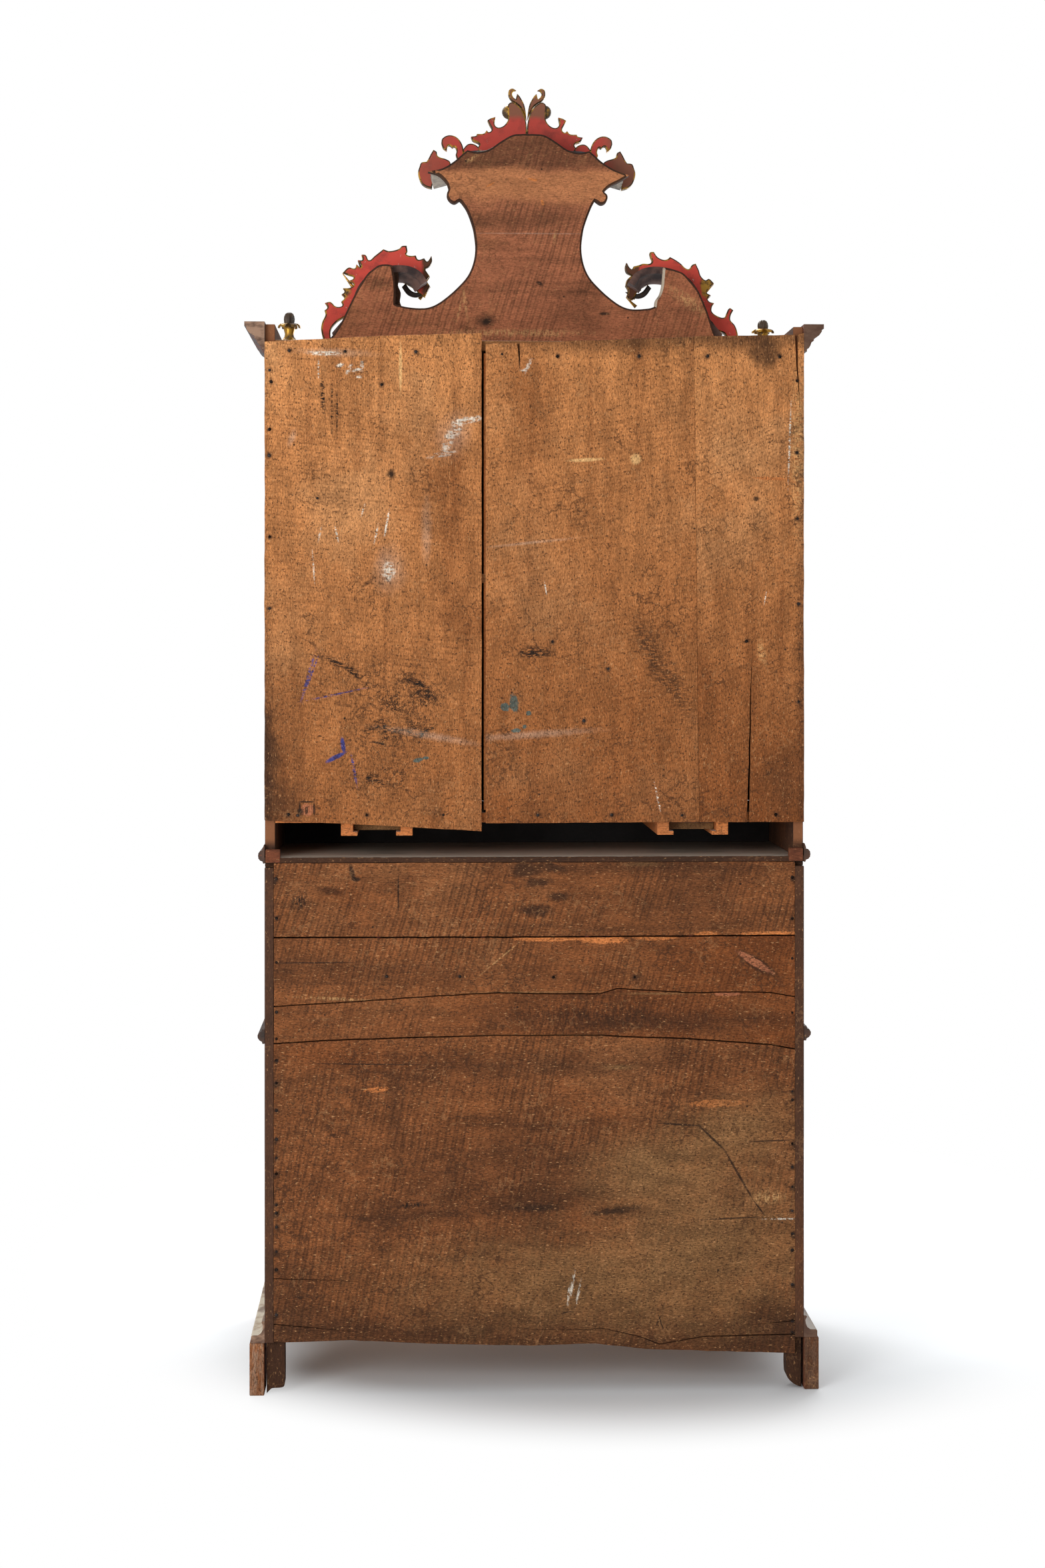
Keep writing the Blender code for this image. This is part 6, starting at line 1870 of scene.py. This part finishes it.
class BuildSlides(Operator):
    """Candle slides in the open slot under the upper case, and the rail that they pass through."""

    bl_idname = "cabinet.slides"
    bl_label = "Candle slides"

    def execute(self, context):
        tint = colours()
        # The rail's back is painted near-black as painted shade of the slot
        painted_slot_shade = (tint.painted_slot_shade, tint.painted_slot_shade, tint.soot)
        rail = lacquer_finish("rail_lacquer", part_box("upper_front_rail")[1].y - 0.001, painted_slot_shade)
        eased("upper_front_rail", rail)
        wood = plain_wood("slide_wood", "Y", (tint.greyed, tint.low_dark, tint.low_light), dusty=True)
        for side in SIDES:
            eased("candle_slide_" + side, wood)
            small_knob(f"candle_slide_{side}_knob", "candle_slide_" + side)
        return {"FINISHED"}


# Stage

FLOOR_REACH = 30.0
SHADOW_MIDDLE = (-0.2, -0.9, 0.0)
SHADOW_REACH = (1.35, 1.56, 1.0)
SHADOW_FADE = (0.8, 1.03)
FLOOR_TONES = ((0.84, 0.862, 0.878), (0.86, 0.882, 0.898))
WORLD_LIGHT = 0.56
# Each light's place, target, width, height and power
LIGHTS = {
    "overhead": ((0.7, -3.0, 4.8), (0, 0, 1.0), 3.2, 2.2, 215),
    "key": ((3.2, 4.8, 1.9), (0, 0, 1.4), 2.6, 3.0, 162),
    "front_fill": ((-2.6, -5.0, 2.8), (0, 0, 1.2), 3.0, 3.0, 150),
}


def floor_finish():
    """Pale floor that keeps the shadow by the cabinet and turns to plain white further off."""
    finish = Finish("floor_paint")
    off = finish.vector("SUBTRACT", finish.place, SHADOW_MIDDLE).outputs[0]
    local = finish.vector("DIVIDE", off, SHADOW_REACH)
    far = finish.vector("LENGTH", local.outputs[0]).outputs["Value"]
    tone = finish.mix(finish.ramp(finish.grit((3, 3, 3), 3, 0.5), 0.3, 0.7), *FLOOR_TONES)
    finish.finish(tone, 0.9, shine=0.0)
    glow = finish.add("ShaderNodeEmission", (1.0, 1.0, 1.0), 1.0)
    seen = finish.add("ShaderNodeLightPath").outputs["Is Camera Ray"]
    white = finish.math("MULTIPLY", finish.ramp(far, *SHADOW_FADE), seen)
    blend = finish.add("ShaderNodeMixShader", white, finish.shader.outputs[0], glow.outputs[0])
    finish.tree.links.new(blend.outputs[0], finish.tree.nodes["Material Output"].inputs["Surface"])
    return finish.material


def white_world(strength):
    """A white backdrop for the camera, and an even light of a given strength for everything else."""
    world = bpy.data.worlds.new("studio")
    world.use_nodes = True
    tree = world.node_tree
    back = tree.nodes["Background"]
    back.inputs["Color"].default_value = (1.0, 1.0, 1.0, 1.0)
    seen = tree.nodes.new("ShaderNodeLightPath").outputs["Is Camera Ray"]
    level = tree.nodes.new("ShaderNodeMapRange")
    tree.links.new(seen, level.inputs[0])
    level.inputs[3].default_value = strength
    level.inputs[4].default_value = 1.0
    tree.links.new(level.outputs[0], back.inputs["Strength"])
    return world


def softbox(name, place, target, width, height, power):
    """A square soft light aimed at a target."""
    light = bpy.data.lights.new(name, "AREA")
    light.shape = "RECTANGLE"
    light.size, light.size_y = width, height
    light.energy = power
    made = bpy.data.objects.new(name, light)
    made.location = place
    made.rotation_euler = (Vector(target) - Vector(place)).to_track_quat("-Z", "Y").to_euler()
    bpy.context.scene.collection.objects.link(made)
    return made


class BuildStage(Operator):
    """Pale floor, white backdrop, soft lights and the photograph's camera."""

    bl_idname = "cabinet.stage"
    bl_label = "Stage"

    def execute(self, context):
        scene = bpy.context.scene
        scene.view_settings.view_transform = "Standard"
        scene.world = white_world(WORLD_LIGHT)
        bm = bmesh.new()
        bmesh.ops.create_grid(bm, x_segments=8, y_segments=8, size=FLOOR_REACH)
        mesh = mesh_of(bm, "floor")
        mesh.materials.append(floor_finish())
        floor = bpy.data.objects.new("floor", mesh)
        scene.collection.objects.link(floor)
        for name, values in LIGHTS.items():
            softbox(name, *values)
        view = bpy.data.cameras.new("photo_view")
        view.sensor_fit = "VERTICAL"
        view.sensor_height = SENSOR
        view.lens = FOCAL_PIXELS * SENSOR / PICTURE_HEIGHT
        view.shift_y = HORIZON_SHIFT / PICTURE_HEIGHT
        view.dof.use_dof = False
        camera = bpy.data.objects.new("photo_view", view)
        camera.location = CAMERA_PLACE
        camera.rotation_euler = (math.pi / 2, 0.0, math.pi - CAMERA_YAW)
        scene.collection.objects.link(camera)
        scene.camera = camera
        return {"FINISHED"}


# Panel and running order

BUILDERS = (BuildUpperBack, BuildLowerBack, BuildCrest, BuildLeaves, BuildFinials, BuildMouldings, BuildFeet,
            BuildCarcass, BuildDrawers, BuildFall, BuildWritingInterior, BuildDoors, BuildSlides, BuildStage)


class CabinetPanel(Panel):
    """Sidebar list of the cabinet's builders, colours and sizes."""

    bl_idname = "VIEW3D_PT_cabinet"
    bl_label = "Bureau cabinet"
    bl_space_type = "VIEW_3D"
    bl_region_type = "UI"
    bl_category = "Cabinet"

    def draw(self, context):
        column = self.layout.column()
        for builder in BUILDERS:
            column.operator(builder.bl_idname)
        for group in (context.scene.cabinet_sizes, context.scene.cabinet_colours):
            for key in group.__annotations__:
                column.prop(group, key)


CLASSES = (CabinetColours, CabinetSizes, *BUILDERS, CabinetPanel)


def register():
    for item in CLASSES:
        bpy.utils.register_class(item)
    bpy.types.Scene.cabinet_colours = PointerProperty(type=CabinetColours)
    bpy.types.Scene.cabinet_sizes = PointerProperty(type=CabinetSizes)


def unregister():
    del bpy.types.Scene.cabinet_sizes
    del bpy.types.Scene.cabinet_colours
    for item in reversed(CLASSES):
        bpy.utils.unregister_class(item)


def main():
    register()
    for builder in BUILDERS:
        group, name = builder.bl_idname.split(".")
        getattr(getattr(bpy.ops, group), name)()


if __name__ == "__main__":
    main()
